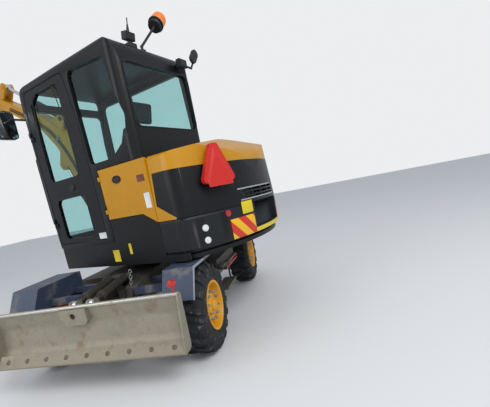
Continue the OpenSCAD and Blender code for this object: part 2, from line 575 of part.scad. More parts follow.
module door_opening(inset) polygon(outline([[door_x0 + inset, floor_z + 45 + inset, 30],
    [door_x1 - inset, floor_z + 45 + inset, 40], [door_x1 - inset, 2300, 60], [door_x1 - 50 - inset, 2790 - inset, 60],
    [door_x0 + 60 + inset, 2790 - inset, 60], [door_x0 + inset, 2300, 60]]));
module quarter_window(inset) offset(delta = -inset) polygon(outline([[-235, 1895, 40], [-218, 2765, 60], [-735, 2725, 90],
    [-772, 2430, 300], [-826, 2215, 160], [-795, 2040, 160], [-560, 1895, 160]]));
module right_window(inset) polygon(outline([[560 - inset, 1780 + inset, 40], [540 - inset, 2740 - inset, 60],
    [-760 + inset, 2740 - inset, 60], [-800 + inset, 1920 + inset, 60], [-300 + inset, 1920 + inset, 30],
    [-200, 1780 + inset, 40]]));
module rear_window(inset) offset(delta = -inset) polygon(outline([[-42, 2115, 40], [815, 2115, 50], [838, 2670, 60], [-20, 2670, 60]]));
module front_window(inset, z0, z1) polygon(outline([[cab_right + 55 + inset, z0 + inset, 40],
    [upper_half - 55 - inset, z0 + inset, 40], [upper_half - 55 - inset, z1 - inset, 50],
    [cab_right + 55 + inset, z1 - inset, 50]]));
module cab_shell() upper() color(black) {
    cab_hinges();
    cab_body();
}
module cab_body() difference() {
    cab_block();
    cab_space();
    slab_y(upper_half - 100, upper_half + 100) { door_opening(0); quarter_window(0); }
    slab_y(cab_right - 100, cab_right + 100) right_window(0);
    slab_x(cab_rear - 100, cab_rear + 200) rear_window(0);
    slab_x(cab_front - 140, cab_front + 100) {
        front_window(0, 1240, 1700);
        front_window(0, 1770, 2630);
        front_window(0, 2710, 2815);
    }
}
door_hinges = [1350, 2300];
module cab_hinges() {
    for (z = door_hinges) translate([door_x1 + 6, upper_half + 10, z + 50 + seat_gap]) {
        cylinder(r = 9, h = 50);
        box([0, -10, 0], [30, 0, 50]);
    }
    for (z = battery_hinges) translate([-300, upper_half + 8, z + 40 + seat_gap]) {
        cylinder(r = 7, h = 40);
        box([0, -8, 0], [20, 0, 40]);
    }
}
module cab_glass() upper() color(glass_tint) {
    slab_y(upper_half - 30, upper_half - 24) quarter_window(seat_gap);
    slab_y(cab_right + 20, cab_right + 26) right_window(seat_gap);
    slab_x(cab_rear + 20, cab_rear + 26) rear_window(seat_gap);
    intersection() {
        slab_x(cab_front - 140, cab_front + 100) {
            front_window(seat_gap, 1240, 1700);
            front_window(seat_gap, 1770, 2630);
            front_window(seat_gap, 2710, 2815);
        }
        slab_y(cab_right, upper_half) polygon(outline([[cab_front - 55, 1115, 0], [cab_front - 20, 1500, 200],
            [cab_front - 20, 2300, 300], [cab_front - 66, 2840, 0], [cab_front - 72, 2840, 0], [cab_front - 26, 2300, 300],
            [cab_front - 26, 1500, 200], [cab_front - 61, 1115, 0]]));
    }
}
door_t = 38;
module door_window(inset, z0, z1) offset(delta = -inset) intersection() {
    polygon(outline([[door_x0 + 185, z0, 30], [door_x1 - 130, z0, 30], [door_x1 - 130, z1, 60], [door_x0 + 185, z1, 30]]));
    polygon([[door_x0, floor_z], [door_x1, floor_z], [door_x1 - 130, 2640], [door_x1 - 330, 2770], [door_x0, 2770]]);
}
module cab_door() upper() color(black) {
    slab_y(upper_half - door_t, upper_half) difference() {
        door_opening(6);
        door_window(0, 1210, 1640);
        door_window(0, 1840, 2725);
    }
    for (z = door_hinges) translate([door_x1 + 6, upper_half + 10, z]) {
        cylinder(r = 9, h = 50);
        box([-40, -10, 0], [0, 0, 50]);
    }
}
module door_glass() upper() color(glass_tint) slab_y(upper_half - 26, upper_half - 20) {
    door_window(seat_gap, 1210, 1640);
    door_window(seat_gap, 1840, 2725);
}
module seat() upper() color(dark_grey) {
    // Side outline of the cushion and the backrest, then the headrest, the arm pods and the plinth
    slab_y(seat_y - 232, seat_y + 232) polygon(outline([[-248, 1560, 40], [230, 1600, 50], [245, 1700, 50], [-80, 1685, 60],
        [-140, 1800, 60], [-400, 2270, 50], [-530, 2270, 50], [-350, 1970, 60], [-248, 1885, 20]]));
    slab_y(seat_y - 150, seat_y + 150) polygon(outline([[-440, 2290, 20], [-500, 2490, 40], [-600, 2490, 40], [-540, 2290, 20],
        [-510, 2210, 0], [-440, 2210, 0]]));
    for (side = [-1, 1]) slab_y(seat_y + side * 260 - 42, seat_y + side * 260 + 42)
        polygon(outline([[-165, 1625, 0], [196, 1625, 40], [226, 1840, 40], [60, 1850, 40], [-165, 1760, 40]]));
    slab_y(seat_y - 270, seat_y + 270) polygon([[-150, floor_z + 40.3], [180, floor_z + 40.3], [184, 1636], [-154, 1636]]);
}
seat_y = 380;
module console() upper() color(black) {
    // Steering column and wheel, travel pedals, side levers and the display
    translate([455, seat_y, floor_z + 40.3]) rotate([0, -9, 0]) translate([0, 0, 14]) {
        cylinder(r = 45, h = 700, $fn = 24);
        translate([0, 0, 700]) {
            rotate_extrude($fn = 40) translate([175, 0]) circle(r = 14, $fn = 12);
            for (a = [90, 210, 330]) rotate(a) translate([0, -13, -6]) cube([175, 26, 12]);
            cylinder(r = 40, h = 20, $fn = 24);
        }
    }
    box([370, seat_y - 100, floor_z + 40.3], [530, seat_y + 100, floor_z + 90]);
    for (y = [seat_y - 190, seat_y + 190]) translate([420, y, floor_z + 40.3]) {
        rotate([0, -30, 0]) translate([0, -45, 8]) cube([14, 90, 180]);
        translate([-30, -45, 0]) cube([60, 90, 30]);
    }
    for (side = [-1, 1]) translate([150, seat_y + side * 260, 1846.5]) {
        cylinder(r = 26, h = 30, $fn = 24);
        translate([0, 0, 25]) cylinder(r = 9, h = 120, $fn = 16);
        translate([0, 0, 130]) cylinder(r1 = 17, r2 = 24, h = 90, $fn = 24);
    }
    box([330, cab_right + cab_wall + seat_gap, 1840], [372, cab_right + cab_wall + 190, 2010]);
    box([340, cab_right + cab_wall + seat_gap, 1720], [362, cab_right + cab_wall + 30, 1860]);
}
module roof_lamps() upper() color(black) {
    // Folding bracket with a lamp and an aerial on the rear edge of the roof
    translate([cab_rear + 100, 590, 0]) {
        difference() {
            union() {
                box([-40, -45, roof_z - 70], [60, 45, roof_z + 12]);
                box([-14, -12, roof_z - 40], [14, 12, roof_z + 50]);
            }
            translate([-cab_rear - 100 - seat_gap, -590, seat_gap]) cab_block();
        }
        translate([0, 0, roof_z + 80]) rotate([0, -12, 0]) {
            translate([-30, -55, -34]) cube([60, 110, 68]);
            translate([-38, -48, -28]) cube([9, 96, 56]);
            translate([0, 0, 30]) cylinder(r1 = 16, r2 = 7, h = 70, $fn = 16);
            translate([0, 0, 95]) cylinder(r = 5, h = 60, $fn = 12);
        }
    }
    // Work lamp below the rear edge on the right, and a mirror on a bent arm
    translate([cab_rear, 60, roof_z - 110]) {
        difference() {
            box([-26, -20, -20], [60, 20, 20]);
            translate([-cab_rear - seat_gap, -60, 110 - roof_z]) cab_block();
        }
        translate([-70, -58, -30]) cube([48, 116, 78]);
        translate([-78, -50, -24]) cube([9, 100, 66]);
        translate([-40, -170, 0]) rod_y(11, 0, 140);
        translate([-40, -170, 0]) sphere(r = 13, $fn = 16);
    }
    translate([cab_rear - 40, -110, roof_z - 110]) {
        rotate([38, 0, 0]) cylinder(r = 10, h = 120, $fn = 16);
        translate([-12, -70, 130]) rotate([38, 0, 0]) slab_x(-16, 14) polygon(outline([[-44, -84, 40], [44, -84, 40], [44, 84, 40], [-44, 84, 40]]));
    }
}
module beacon_stem() upper() color(black) beacon_place() {
    // Foot, folding stem and the base of the lamp
    difference() {
        union() {
            translate([-24, -24, -30]) cube([48, 48, 54]);
            cylinder(r = 13, h = 60, $fn = 24);
        }
        translate([-cab_rear - 130, -405, seat_gap - roof_z + 8]) cab_block();
    }
    beacon_turned() {
        sphere(r = 16, $fn = 20);
        cylinder(r = 12, h = 370, $fn = 24);
        translate([0, 0, 360]) cylinder(r = 66, h = 44);
        translate([0, 0, 402]) cylinder(r = 80, h = 14);
    }
}
module beacon() upper() color(orange) beacon_place() beacon_turned()
    // Ribbed dome
    translate([0, 0, 416 + seat_gap]) rotate_extrude() polygon(outline([[0, 0, 0], [76, 0, 0], [76, 20, 0], [72, 24, 0],
        [75, 28, 0], [75, 50, 0], [71, 54, 0], [74, 58, 0], [72, 124, 36], [0, 132, 0]]));
module beacon_place() translate([cab_rear + 130, 405, roof_z - 8]) children();
module beacon_turned() translate([0, 0, 56]) rotate([beacon_tilt, 0, 0]) children();
beacon_tilt = 45;
module rear_signs() upper() {
    // Slow-vehicle triangle with cut corners, a deep rim and a raised middle
    rotate(sign_turn) {
        color(red) slab_x(tail_r + 14, tail_r + 70) sign_outline(0);
        color(red) translate([tail_r + 69, 0, 0]) rotate([90, 0, 90]) linear_extrude(9, scale = 0.96)
            translate([0, 1615]) translate([0, -1615]) offset(delta = -28) sign_outline(0);
        color(red) difference() {
            slab_x(tail_r - 60, tail_r + 24) translate([-60, 1530]) square([120, 60]);
            rotate(-sign_turn) leaning(-seat_gap, cw_z1 + 5, hood_z + 160, seam_x);
        }
    }
}
sign_turn = 157.5;
module sign_outline(inset) offset(delta = -inset) polygon(outline([[-182, 1493, 34], [182, 1493, 34], [34, 1830, 20],
    [-34, 1830, 20]], 3));
module handrails() upper() color(black) {
    // Bent grab rail at the front corner of the cab
    for (seg = [[[cab_front + 42, 2120], [cab_front + 42, 1460]], [[cab_front + 42, 2120], [cab_front + 15, 2150]],
        [[cab_front + 42, 1460], [cab_front + 15, 1430]]])
        hull() for (p = seg) translate([p[0], upper_half - 45, p[1]]) sphere(r = 14, $fn = 16);
    for (z = [1430, 2150]) on_cab_front() translate([cab_front - 60, upper_half - 45, z]) rotate([0, 90, 0]) cylinder(r = 20, h = 74);
}
// A foot cut to the front face of the cab
module on_cab_front() difference() {
    children();
    translate([seat_gap, 0, 0]) cab_block();
}
// Rear-view mirror on a bent arm at the front corner of the cab
module mirror_arm() upper() color(black) {
    for (seg = [[[cab_front + 16, upper_half - 70, 2560], [cab_front + 130, upper_half + 60, 2590]],
        [[cab_front + 130, upper_half + 60, 2590], [cab_front + 200, upper_half + 90, 2560]]])
        hull() for (p = seg) translate(p) sphere(r = 11, $fn = 16);
    on_cab_front() translate([cab_front - 60, upper_half - 70, 2560]) rotate([0, 90, 0]) cylinder(r = 24, h = 76);
    translate([cab_front + 195, upper_half + 90, 2545]) slab_x(0, 46)
        polygon(outline([[-105, -150, 45], [105, -150, 45], [105, 150, 45], [-105, 150, 45]]));
}

// Front linkage, drawn in the plane of the boom
module linkage() upper() translate([0, boom_y, 0]) children();
boom_foot = [kingpost_x + 180, 1330];
boom_tip = boom_foot + boom_len * [cos(boom_angle), sin(boom_angle)];
arm_tip = boom_tip + arm_len * [cos(arm_angle), sin(arm_angle)];
function turned(p, a) = [p[0] * cos(a) - p[1] * sin(a), p[0] * sin(a) + p[1] * cos(a)];
boom_base = [kingpost_x + 250, 1000];
boom_eye_at = [1120, 100];
boom_eye = boom_foot + turned(boom_eye_at, boom_angle);
arm_base_at = [1450, 720];
arm_base = boom_foot + turned(arm_base_at, boom_angle);
arm_eye_at = [-280, 160];
arm_eye = boom_tip + turned(arm_eye_at, arm_angle);
bucket_base_at = [190, 290];
bucket_base = boom_tip + turned(bucket_base_at, arm_angle);
rocker_pin_at = [arm_len - 340, 30];
rocker_pin = boom_tip + turned(rocker_pin_at, arm_angle);
rocker_len = 310;
link_len = 320;
lug_at = 230 * [cos(100), sin(100)];
bucket_lug = arm_tip + turned(lug_at, bucket_angle);
// Where two bars of lengths r and s from the pins a and b meet, on the outer side
function meet(a, r, b, s) =
    let (d = norm(b - a), u = (b - a) / d, w = (r * r - s * s + d * d) / (2 * d), h = sqrt(r * r - w * w))
    a + w * u + h * [-u[1], u[0]];
rocker_eye = meet(rocker_pin, rocker_len, bucket_lug, link_len);
pin_r = 30;
boom_half = 110;
arm_half = 75;
cheek_in = 130;
ear_gap = 0.5;
eye_half = 45;

module on_boom() translate([boom_foot[0], 0, boom_foot[1]]) rotate([0, -boom_angle, 0]) children();
module on_arm() translate([boom_tip[0], 0, boom_tip[1]]) rotate([0, -arm_angle, 0]) children();
module pin_at(p, r, y0, y1) translate([p[0], 0, p[1]]) rod_y(r, y0, y1);
// Two ears with short pins on their outer sides; the eye between them is free to turn
module ears(p, half, thick, head) both_sides() {
    slab_y(half + ear_gap, half + ear_gap + thick) children();
    pin_at(p, pin_r, half + ear_gap + thick - 1, half + ear_gap + thick + head);
}

module kingpost() linkage() color(black) difference() {
    union() {
        translate([kingpost_x, 0, deck_z + 70 + ear_gap]) cylinder(r = 80, h = 170 - 2 * ear_gap);
        translate([kingpost_x, 0, deck_z]) cylinder(r = 35, h = 300);
        slab_y(-60, 60) polygon([[kingpost_x, deck_z + 71], [kingpost_x + 170, deck_z + 71],
            [kingpost_x + 170, deck_z + 239], [kingpost_x, deck_z + 239]]);
        both_sides() slab_y(cheek_in, cheek_in + 35)
            polygon(outline([[kingpost_x + 110, 950, 20], [boom_base[0] + 20, 930, 60], [boom_base[0] + 70, 1000, 50],
                [boom_foot[0] + 75, 1200, 60], [boom_foot[0] + 70, 1395, 60], [boom_foot[0] - 60, 1395, 60],
                [kingpost_x + 110, 1240, 30]]));
        slab_y(-cheek_in - 1, cheek_in + 1) polygon([[kingpost_x + 112, 960], [kingpost_x + 170, 960],
            [kingpost_x + 170, 1180], [kingpost_x + 112, 1180]]);
        both_sides() pin_at(boom_base, 50, boom_cyl[0] + 7 + ear_gap, cheek_in + 1);
    }
    for (p = [boom_foot, boom_base]) pin_at(p, pin_r + pin_gap, -400, 400);
}
module boom_side() polygon(outline([[-75, -60, 60], [600, 100, 400], [1300, 320, 400], [1750, 330, 400],
    [2960, -60, 60], [2975, 75, 60], [1850, 500, 500], [1330, 590, 400], [700, 420, 500], [-70, 75, 60]]));
module boom() linkage() color(yellow) on_boom() difference() {
    union() {
        slab_y(-boom_half, boom_half) boom_side();
        rod_y(75, -cheek_in + ear_gap, cheek_in - ear_gap);
        rod_y(pin_r, -cheek_in - 45, cheek_in + 45);
        ears(boom_eye_at, eye_half, 25, 12) polygon(outline([[1010, 250, 0], [boom_eye_at[0] - 60, 60, 50],
            [boom_eye_at[0] + 60, 50, 50], [1300, 340, 0]]));
        both_sides() slab_y(arm_cyl[0] + 7 + ear_gap, arm_cyl[0] + 32) polygon(outline([[1330, 560, 0], [1400, 775, 50],
            [1500, 775, 50], [1640, 560, 0]]));
    }
    pin_at(arm_base_at, pin_r + pin_gap, -400, 400);
    pin_at([boom_len, 0], pin_r + pin_gap, -400, 400);
    translate([boom_len - 150, 0, 0]) box([0, -arm_half - ear_gap, -300], [400, arm_half + ear_gap, 300]);
}
boom_cyl_len = norm(boom_eye - boom_base);
arm_cyl_len = norm(arm_eye - arm_base);
bucket_cyl_len = norm(rocker_eye - bucket_base);
// Columns: barrel radius, rod radius, and the shares of the length at which the barrel ends and the rod begins
boom_cyl = [52, 28, 0.62, 0.37];
arm_cyl = [48, 26, 0.62, 0.31];
bucket_cyl = [44, 24, 0.62, 0.37];
module barrel(a, b, cyl, pin_half) color(dark_grey) along(a, b, 0) {
    cylinder_barrel(norm(b - a) * cyl[2], cyl[0], cyl[1], 52, 2 * cyl[0] + 14, pin_r - 1);
    rod_y(pin_r, -pin_half, pin_half);
}
module piston_rod(a, b, cyl, half) color(steel) along(a, b, 0)
    cylinder_rod(norm(b - a), cyl[1], 45, 2 * half, pin_r - 8, norm(b - a) * cyl[3]);
module boom_barrel() linkage() barrel(boom_base, boom_eye, boom_cyl, cheek_in + 40);
module boom_rod() linkage() piston_rod(boom_base, boom_eye, boom_cyl, eye_half);
module arm_side() polygon(outline([[-95, -60, 60], [-40, 200, 80], [300, 190, 200], [arm_len - 300, 90, 100],
    [arm_len + 52, 52, 50], [arm_len + 52, -50, 50], [arm_len - 340, -75, 100], [300, -110, 300], [0, -100, 60]]));
module arm() linkage() color(yellow) on_arm() difference() {
    union() {
        slab_y(-arm_half, arm_half) arm_side();
        rod_y(pin_r, -boom_half - 8, boom_half + 8);
        ears(arm_eye_at, eye_half, 29, 10) polygon(outline([[-50, -60, 0], [arm_eye_at[0] - 50, arm_eye_at[1] - 40, 40],
            [arm_eye_at[0] - 45, arm_eye_at[1] + 55, 50], [arm_eye_at[0] + 60, arm_eye_at[1] + 60, 50], [60, 200, 0],
            [60, 0, 0]]));
        both_sides() slab_y(bucket_cyl[0] + 7 + ear_gap, arm_half) polygon(outline([[40, 160, 0], [150, 345, 50],
            [240, 345, 50], [420, 150, 0]]));
    }
    pin_at(bucket_base_at, pin_r + pin_gap, -400, 400);
    pin_at(rocker_pin_at, pin_r + pin_gap, -400, 400);
    pin_at([arm_len, 0], pin_r + pin_gap, -400, 400);
}
module arm_barrel() linkage() barrel(arm_base, arm_eye, arm_cyl, arm_cyl[0] + 45);
module arm_rod() linkage() piston_rod(arm_base, arm_eye, arm_cyl, eye_half);
bucket_plate = 16;
module bucket_side(inset) polygon(outline([[60 + inset, -60, 0], [50 + inset, 260, 60], [260, 470 - inset, 160],
    [620, 420 - inset, 250], [900 - inset, 60, 0], [880 - inset, 10, 0]]));
module bucket() linkage() color(dark_grey) translate([arm_tip[0], 0, arm_tip[1]]) rotate([0, -bucket_angle, 0])
    difference() {
        union() {
            difference() {
                slab_y(-bucket_w / 2, bucket_w / 2) bucket_side(0);
                slab_y(-bucket_w / 2 + bucket_plate, bucket_w / 2 - bucket_plate) translate([0, -1]) bucket_side(bucket_plate);
            }
            for (i = [-2 : 2]) slab_y(i * (bucket_w / 2 - 40) / 2 - 25, i * (bucket_w / 2 - 40) / 2 + 25)
                polygon([[870, 60], [890, 15], [985, 20], [985, 28]]);
            both_sides() slab_y(arm_half + ear_gap, arm_half + 25) polygon(outline([[-45, -45, 45], [60, -60, 0],
                [62, 265, 0], [lug_at[0] - 25, lug_at[1] + 45, 45], [lug_at[0] - 45, lug_at[1] - 40, 40]]));
            both_sides() pin_at(lug_at, pin_r, arm_half + 24, arm_half + 32);
            rod_y(pin_r, -arm_half - 32, arm_half + 32);
        }
    }
module bucket_barrel() linkage() barrel(bucket_base, rocker_eye, bucket_cyl, arm_half + 12);
module bucket_rod() linkage() piston_rod(bucket_base, rocker_eye, bucket_cyl, 35);
module rocker() linkage() color(dark_grey) {
    both_sides() bar_y(rocker_pin, rocker_eye, 42, arm_half + ear_gap, arm_half + 22);
    pin_at(rocker_pin, pin_r, -arm_half - 30, arm_half + 30);
    both_sides() pin_at(rocker_eye, pin_r - 8, 36, arm_half + 30);
}
module bucket_link() linkage() color(dark_grey) difference() {
    union() {
        both_sides() bar_y(rocker_eye, bucket_lug, 38, 36, arm_half);
        slab_y(-40, 40) polygon([rocker_eye * 0.65 + bucket_lug * 0.35 + [0, 20], rocker_eye * 0.45 + bucket_lug * 0.55 + [0, 20],
            rocker_eye * 0.45 + bucket_lug * 0.55 - [0, 20], rocker_eye * 0.65 + bucket_lug * 0.35 - [0, 20]]);
    }
    pin_at(rocker_eye, pin_r - 8 + pin_gap, -400, 400);
}

chassis_frame();
slew_ring();
drive_axle();
steer_axle();
fenders();
steps();
knuckle_left();
knuckle_right();
tyre_drive_left();
tyre_drive_right();
tyre_steer_left();
tyre_steer_right();
rim_drive_left();
rim_drive_right();
rim_steer_left();
rim_steer_right();
blade_links();
blade_top_link();
blade();
blade_lamps();
blade_barrels();
blade_rods();
upper_frame();
counterweight();
engine();
hood();
engine_door();
side_panels();
battery_door();
tank_cover();
cab_shell();
cab_glass();
cab_door();
door_glass();
seat();
console();
roof_lamps();
beacon_stem();
beacon();
rear_signs();
handrails();
mirror_arm();
kingpost();
boom();
boom_barrel();
boom_rod();
arm();
arm_barrel();
arm_rod();
bucket();
bucket_barrel();
bucket_rod();
rocker();
bucket_link();
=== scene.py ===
"""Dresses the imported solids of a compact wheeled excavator: finishes, fittings, seat, lamps and the stage.

Everything is in metres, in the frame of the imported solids: the ground is z = 0 and +X points to the blade.
Fittings are modelled in the frame of the part that carries them, and settle moves them to their place.
"""

import math
from contextlib import contextmanager

import bmesh
import bpy
from mathutils import Matrix, Vector


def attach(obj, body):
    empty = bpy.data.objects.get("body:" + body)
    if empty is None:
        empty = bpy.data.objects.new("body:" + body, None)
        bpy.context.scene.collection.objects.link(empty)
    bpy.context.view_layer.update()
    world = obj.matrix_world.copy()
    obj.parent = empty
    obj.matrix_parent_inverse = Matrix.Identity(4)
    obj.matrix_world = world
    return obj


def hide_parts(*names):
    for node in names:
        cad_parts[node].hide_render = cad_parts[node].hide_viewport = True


bl_info = {
    "name": "Compact wheeled excavator",
    "version": (1, 0, 0),
    "blender": (4, 5, 0),
    "location": "3D View > Sidebar > Excavator",
    "description": "Finishes and small fittings for a compact wheeled excavator",
    "category": "Object",
}

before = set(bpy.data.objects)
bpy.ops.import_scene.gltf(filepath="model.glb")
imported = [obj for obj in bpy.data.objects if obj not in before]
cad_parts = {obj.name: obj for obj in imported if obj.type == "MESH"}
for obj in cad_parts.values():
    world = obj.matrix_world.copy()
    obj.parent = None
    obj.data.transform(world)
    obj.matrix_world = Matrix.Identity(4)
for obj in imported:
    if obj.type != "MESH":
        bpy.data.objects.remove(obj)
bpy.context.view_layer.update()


def turned(degrees, axis):
    return Matrix.Rotation(math.radians(degrees), 4, axis)


# Frames of the parts that carry the fittings, with places repeated from the source of the solids.
# The chassis and the upper body are measured from the swing axis at the ground, the boom from its foot pin.
SWING = Vector((0.193, 1.687, 0.0))
UPPER_TURN, BOOM_TURN = -109, -49
BOOM_FOOT = Vector((1.18, -0.230, 1.33))
TO_CHASSIS = Matrix.Translation(SWING)
TO_UPPER = TO_CHASSIS @ turned(UPPER_TURN, "Z")
TO_BOOM = TO_UPPER @ Matrix.Translation(BOOM_FOOT) @ turned(BOOM_TURN, "Y")


# Colour


def linear(code):
    """Turns an sRGB hex colour into the linear one that the shaders take."""
    parts = [int(code[i : i + 2], 16) / 255 for i in (1, 3, 5)]
    return tuple(p / 12.92 if p <= 0.04045 else ((p + 0.055) / 1.055) ** 2.4 for p in parts)


def opaque(colour):
    return (*colour[:3], 1.0)


# Settings that a user would change


def colour_setting(name, description, code):
    return bpy.props.FloatVectorProperty(
        name=name, description=description, default=linear(code), subtype="COLOR", size=3, min=0, max=1
    )


def length_setting(name, description, metres):
    return bpy.props.FloatProperty(
        name=name, description=description, default=metres, min=0, unit="LENGTH", precision=4
    )


class EXCAVATOR_PG_colours(bpy.types.PropertyGroup):
    # Painted shade: this yellow is set darker than the enamel's own colour, to how the paint looks in shade
    yellow: colour_setting("Yellow enamel", "Paint of the hood, boom and arm", "#bf8605")
    rim_yellow: colour_setting("Rim enamel", "Paint of the wheel rims", "#d99a0c")
    black: colour_setting("Black enamel", "Paint of the cab frame and the skirts", "#0e1013")
    graphite: colour_setting("Graphite enamel", "Paint of the chassis and the tail weight", "#1a1d21")
    slate: colour_setting("Slate enamel", "Paint of the mudguards", "#39445a")
    blade: colour_setting("Worn blade steel", "Scoured steel of the dozer blade", "#9a9484")
    tyre: colour_setting("Tyre rubber", "Rubber of the tyres", "#26272a")
    dust: colour_setting("Dust", "Dry dust on the lower parts", "#9a8f7c")
    glass: colour_setting("Window tint", "What two panes leave of the light", "#9fd0cf")


class EXCAVATOR_PG_sizes(bpy.types.PropertyGroup):
    edge: length_setting("Edge round", "Round on the edges of the sheet metal", 0.004)
    floor: length_setting("Floor", "Width of the studio floor", 60.0)


# Modelling helpers

# Angles between faces, in degrees: where a fitting's edge is rounded or shaded sharp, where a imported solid's
# edge is rounded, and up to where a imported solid's faces are flat enough to merge
SHARP, SOLID_SHARP, FLAT = 35, 40, 0.5
MERGED = 1e-6, 1e-5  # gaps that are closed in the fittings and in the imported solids
ROUND_STEPS = 5  # flat pieces in each rounded corner of an outline


def deselect():
    bpy.ops.object.select_all(action="DESELECT")


def activate(*pieces):
    deselect()
    for piece in pieces:
        piece.select_set(True)
    bpy.context.view_layer.objects.active = pieces[0]


def moved(piece, matrix):
    """Moves a piece and keeps the move in its mesh."""
    activate(piece)
    piece.matrix_world = matrix
    bpy.ops.object.transform_apply()
    return piece


@contextmanager
def editing(piece, axis=None, side=1):
    """Edit mode on one piece, with nothing selected in it, or the faces that look along an axis."""
    activate(piece)
    bpy.ops.object.mode_set(mode="EDIT")
    bpy.ops.mesh.select_all(action="DESELECT")
    if axis is not None:
        choose(piece, facing(axis, side))
    try:
        yield
    finally:
        bpy.ops.object.mode_set(mode="OBJECT")


def started(kind, name, place=(0, 0, 0), size=(1, 1, 1), turn=(0, 0, 0), **settings):
    """Adds a primitive at its size and place, to be shaped there."""
    deselect()
    if kind in ("cube", "plane"):
        settings["size"] = 1
    getattr(bpy.ops.mesh, f"primitive_{kind}_add")(location=place, rotation=turn, **settings)
    piece = bpy.context.object
    piece.name = piece.data.name = name
    piece.scale = size
    bpy.ops.object.transform_apply()
    return piece


def disc(name, place, radius, depth, axis, sides, stretch=(1, 1, 1)):
    """A cylinder about its middle, along the X, Y or Z axis."""
    turn = {"X": (0, math.pi / 2, 0), "Y": (math.pi / 2, 0, 0), "Z": (0, 0, 0)}[axis]
    return started("cylinder", name, place, stretch, turn, vertices=sides, radius=radius, depth=depth)


def choose(piece, test):
    """Selects the faces of the piece in edit mode whose middle and normal pass a test."""
    bpy.ops.mesh.select_all(action="DESELECT")
    bpy.ops.mesh.select_mode(type="FACE")
    mesh = bmesh.from_edit_mesh(piece.data)
    for face in mesh.faces:
        face.select_set(test(face.calc_center_median(), face.normal))
    mesh.select_flush_mode()
    bmesh.update_edit_mesh(piece.data)


def facing(axis, side=1):
    return lambda middle, normal: normal[axis] * side > 0.9


def extrude(way, scale=None, about=None):
    """Extrudes the selection by a way, and scales its new end about a point."""
    bpy.ops.mesh.extrude_region_move(TRANSFORM_OT_translate={"value": way})
    if scale is not None:
        bpy.ops.transform.resize(value=scale, center_override=about)


def inset(width, depth=0.0):
    bpy.ops.mesh.inset(thickness=width, depth=depth)


def stepped(piece, axis, side, *rings):
    """Insets the faces that look along an axis, ring after ring, each with a width and a depth."""
    with editing(piece, axis, side):
        for width, depth in rings:
            inset(width, depth)
    return piece


def studded(piece, axis, side, cuts, width, depth):
    """Cuts the faces that look along an axis into small ones, and raises or sinks each of them."""
    with editing(piece, axis, side):
        for number in cuts:
            bpy.ops.mesh.subdivide(number_cuts=number)
        choose(piece, facing(axis, side))
        bpy.ops.mesh.inset(thickness=width, depth=depth, use_individual=True)
    return piece


def copied(piece, name, matrix):
    """A copy with a mesh of its own, moved by a matrix."""
    activate(piece)
    bpy.ops.object.duplicate()
    twin = bpy.context.object
    twin.name = twin.data.name = name
    return moved(twin, matrix)


def joined(pieces, name):
    activate(*pieces)
    bpy.ops.object.join()
    pieces[0].name = pieces[0].data.name = name
    return pieces[0]


def repeated(piece, moves):
    """Copies of a piece at each of the given moves from it, joined with it."""
    name = piece.name
    return joined([piece, *(copied(piece, f"{name}_{i}", move) for i, move in enumerate(moves))], name)


def ringed(piece, count):
    """Copies of a piece spread round the Y axis, joined with it."""
    return repeated(piece, [turned(360 * i / count, "Y") for i in range(1, count)])


def softened(piece, width, segments=2):
    """Rounds the sharp edges for good."""
    activate(piece)
    bevel = piece.modifiers.new("Round", "BEVEL")
    bevel.width, bevel.segments = width, segments
    bevel.limit_method, bevel.angle_limit = "ANGLE", math.radians(SHARP)
    bpy.ops.object.modifier_apply(modifier=bevel.name)
    return piece


def outward(piece):
    """Merges the doubled points of a closed piece and points its faces outwards."""
    with editing(piece):
        bpy.ops.mesh.select_all(action="SELECT")
        bpy.ops.mesh.remove_doubles(threshold=MERGED[0])
        bpy.ops.mesh.normals_make_consistent(inside=False)
    return piece


def settle(piece, frame, body, finish, smooth=SHARP):
    """Moves a shaped piece to its place from its own frame, finishes it and hangs it on its body."""
    activate(piece)
    bpy.ops.object.shade_smooth_by_angle(angle=math.radians(smooth))
    moved(piece, frame)
    piece.data.materials.clear()
    piece.data.materials.append(FINISHES[finish])
    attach(piece, body)
    return piece


def corners(left, right, low, high, radius):
    """The outline rows of an upright rectangle with rounded corners."""
    return [(left, low, radius), (right, low, radius), (right, high, radius), (left, high, radius)]


def rounded(rows):
    """Points of an outline from rows of its corners: place across, height and radius."""
    points = []
    for i, (x, z, radius) in enumerate(rows):
        corner = Vector((x, z))
        if not radius:
            points.append(corner)
            continue
        before = (Vector(rows[i - 1][:2]) - corner).normalized()
        after = (Vector(rows[(i + 1) % len(rows)][:2]) - corner).normalized()
        half = before.angle(after) / 2
        centre = corner + (before + after).normalized() * radius / math.sin(half)
        start = corner + before * radius / math.tan(half) - centre
        sweep = start.angle_signed(corner + after * radius / math.tan(half) - centre)
        for k in range(ROUND_STEPS + 1):
            spoke = start.copy()
            spoke.rotate(Matrix.Rotation(-sweep * k / ROUND_STEPS, 2))
            points.append(centre + spoke)
    return points


def plate(name, rows, low, high, axis=1):
    """A plate of an outline between two depths along the axis.

    The rows give X and Z for a plate across Y (axis 1), or Y and Z for a plate across X (axis 0).
    """
    points = rounded(rows)
    piece = started("circle", name, vertices=len(points), fill_type="NGON")
    for vertex, point in zip(piece.data.vertices, points):
        vertex.co = (point[0], low, point[1]) if axis == 1 else (low, point[0], point[1])
    piece.data.update()
    with editing(piece):
        bpy.ops.mesh.select_all(action="SELECT")
        extrude((0, high - low, 0) if axis == 1 else (high - low, 0, 0))
    return outward(piece)


def gasket(name, rows, width, low, high, axis=1):
    """A closed strip of rubber that follows an outline on its inner side."""
    piece = plate(name, rows, low, high, axis)
    with editing(piece):
        choose(piece, lambda middle, normal: abs(normal[axis]) > 0.9)
        inset(width)
        bpy.ops.mesh.delete(type="FACE")
        bpy.ops.mesh.select_mode(type="EDGE")
        bpy.ops.mesh.select_non_manifold(extend=False)
        bpy.ops.mesh.bridge_edge_loops()
    return outward(piece)


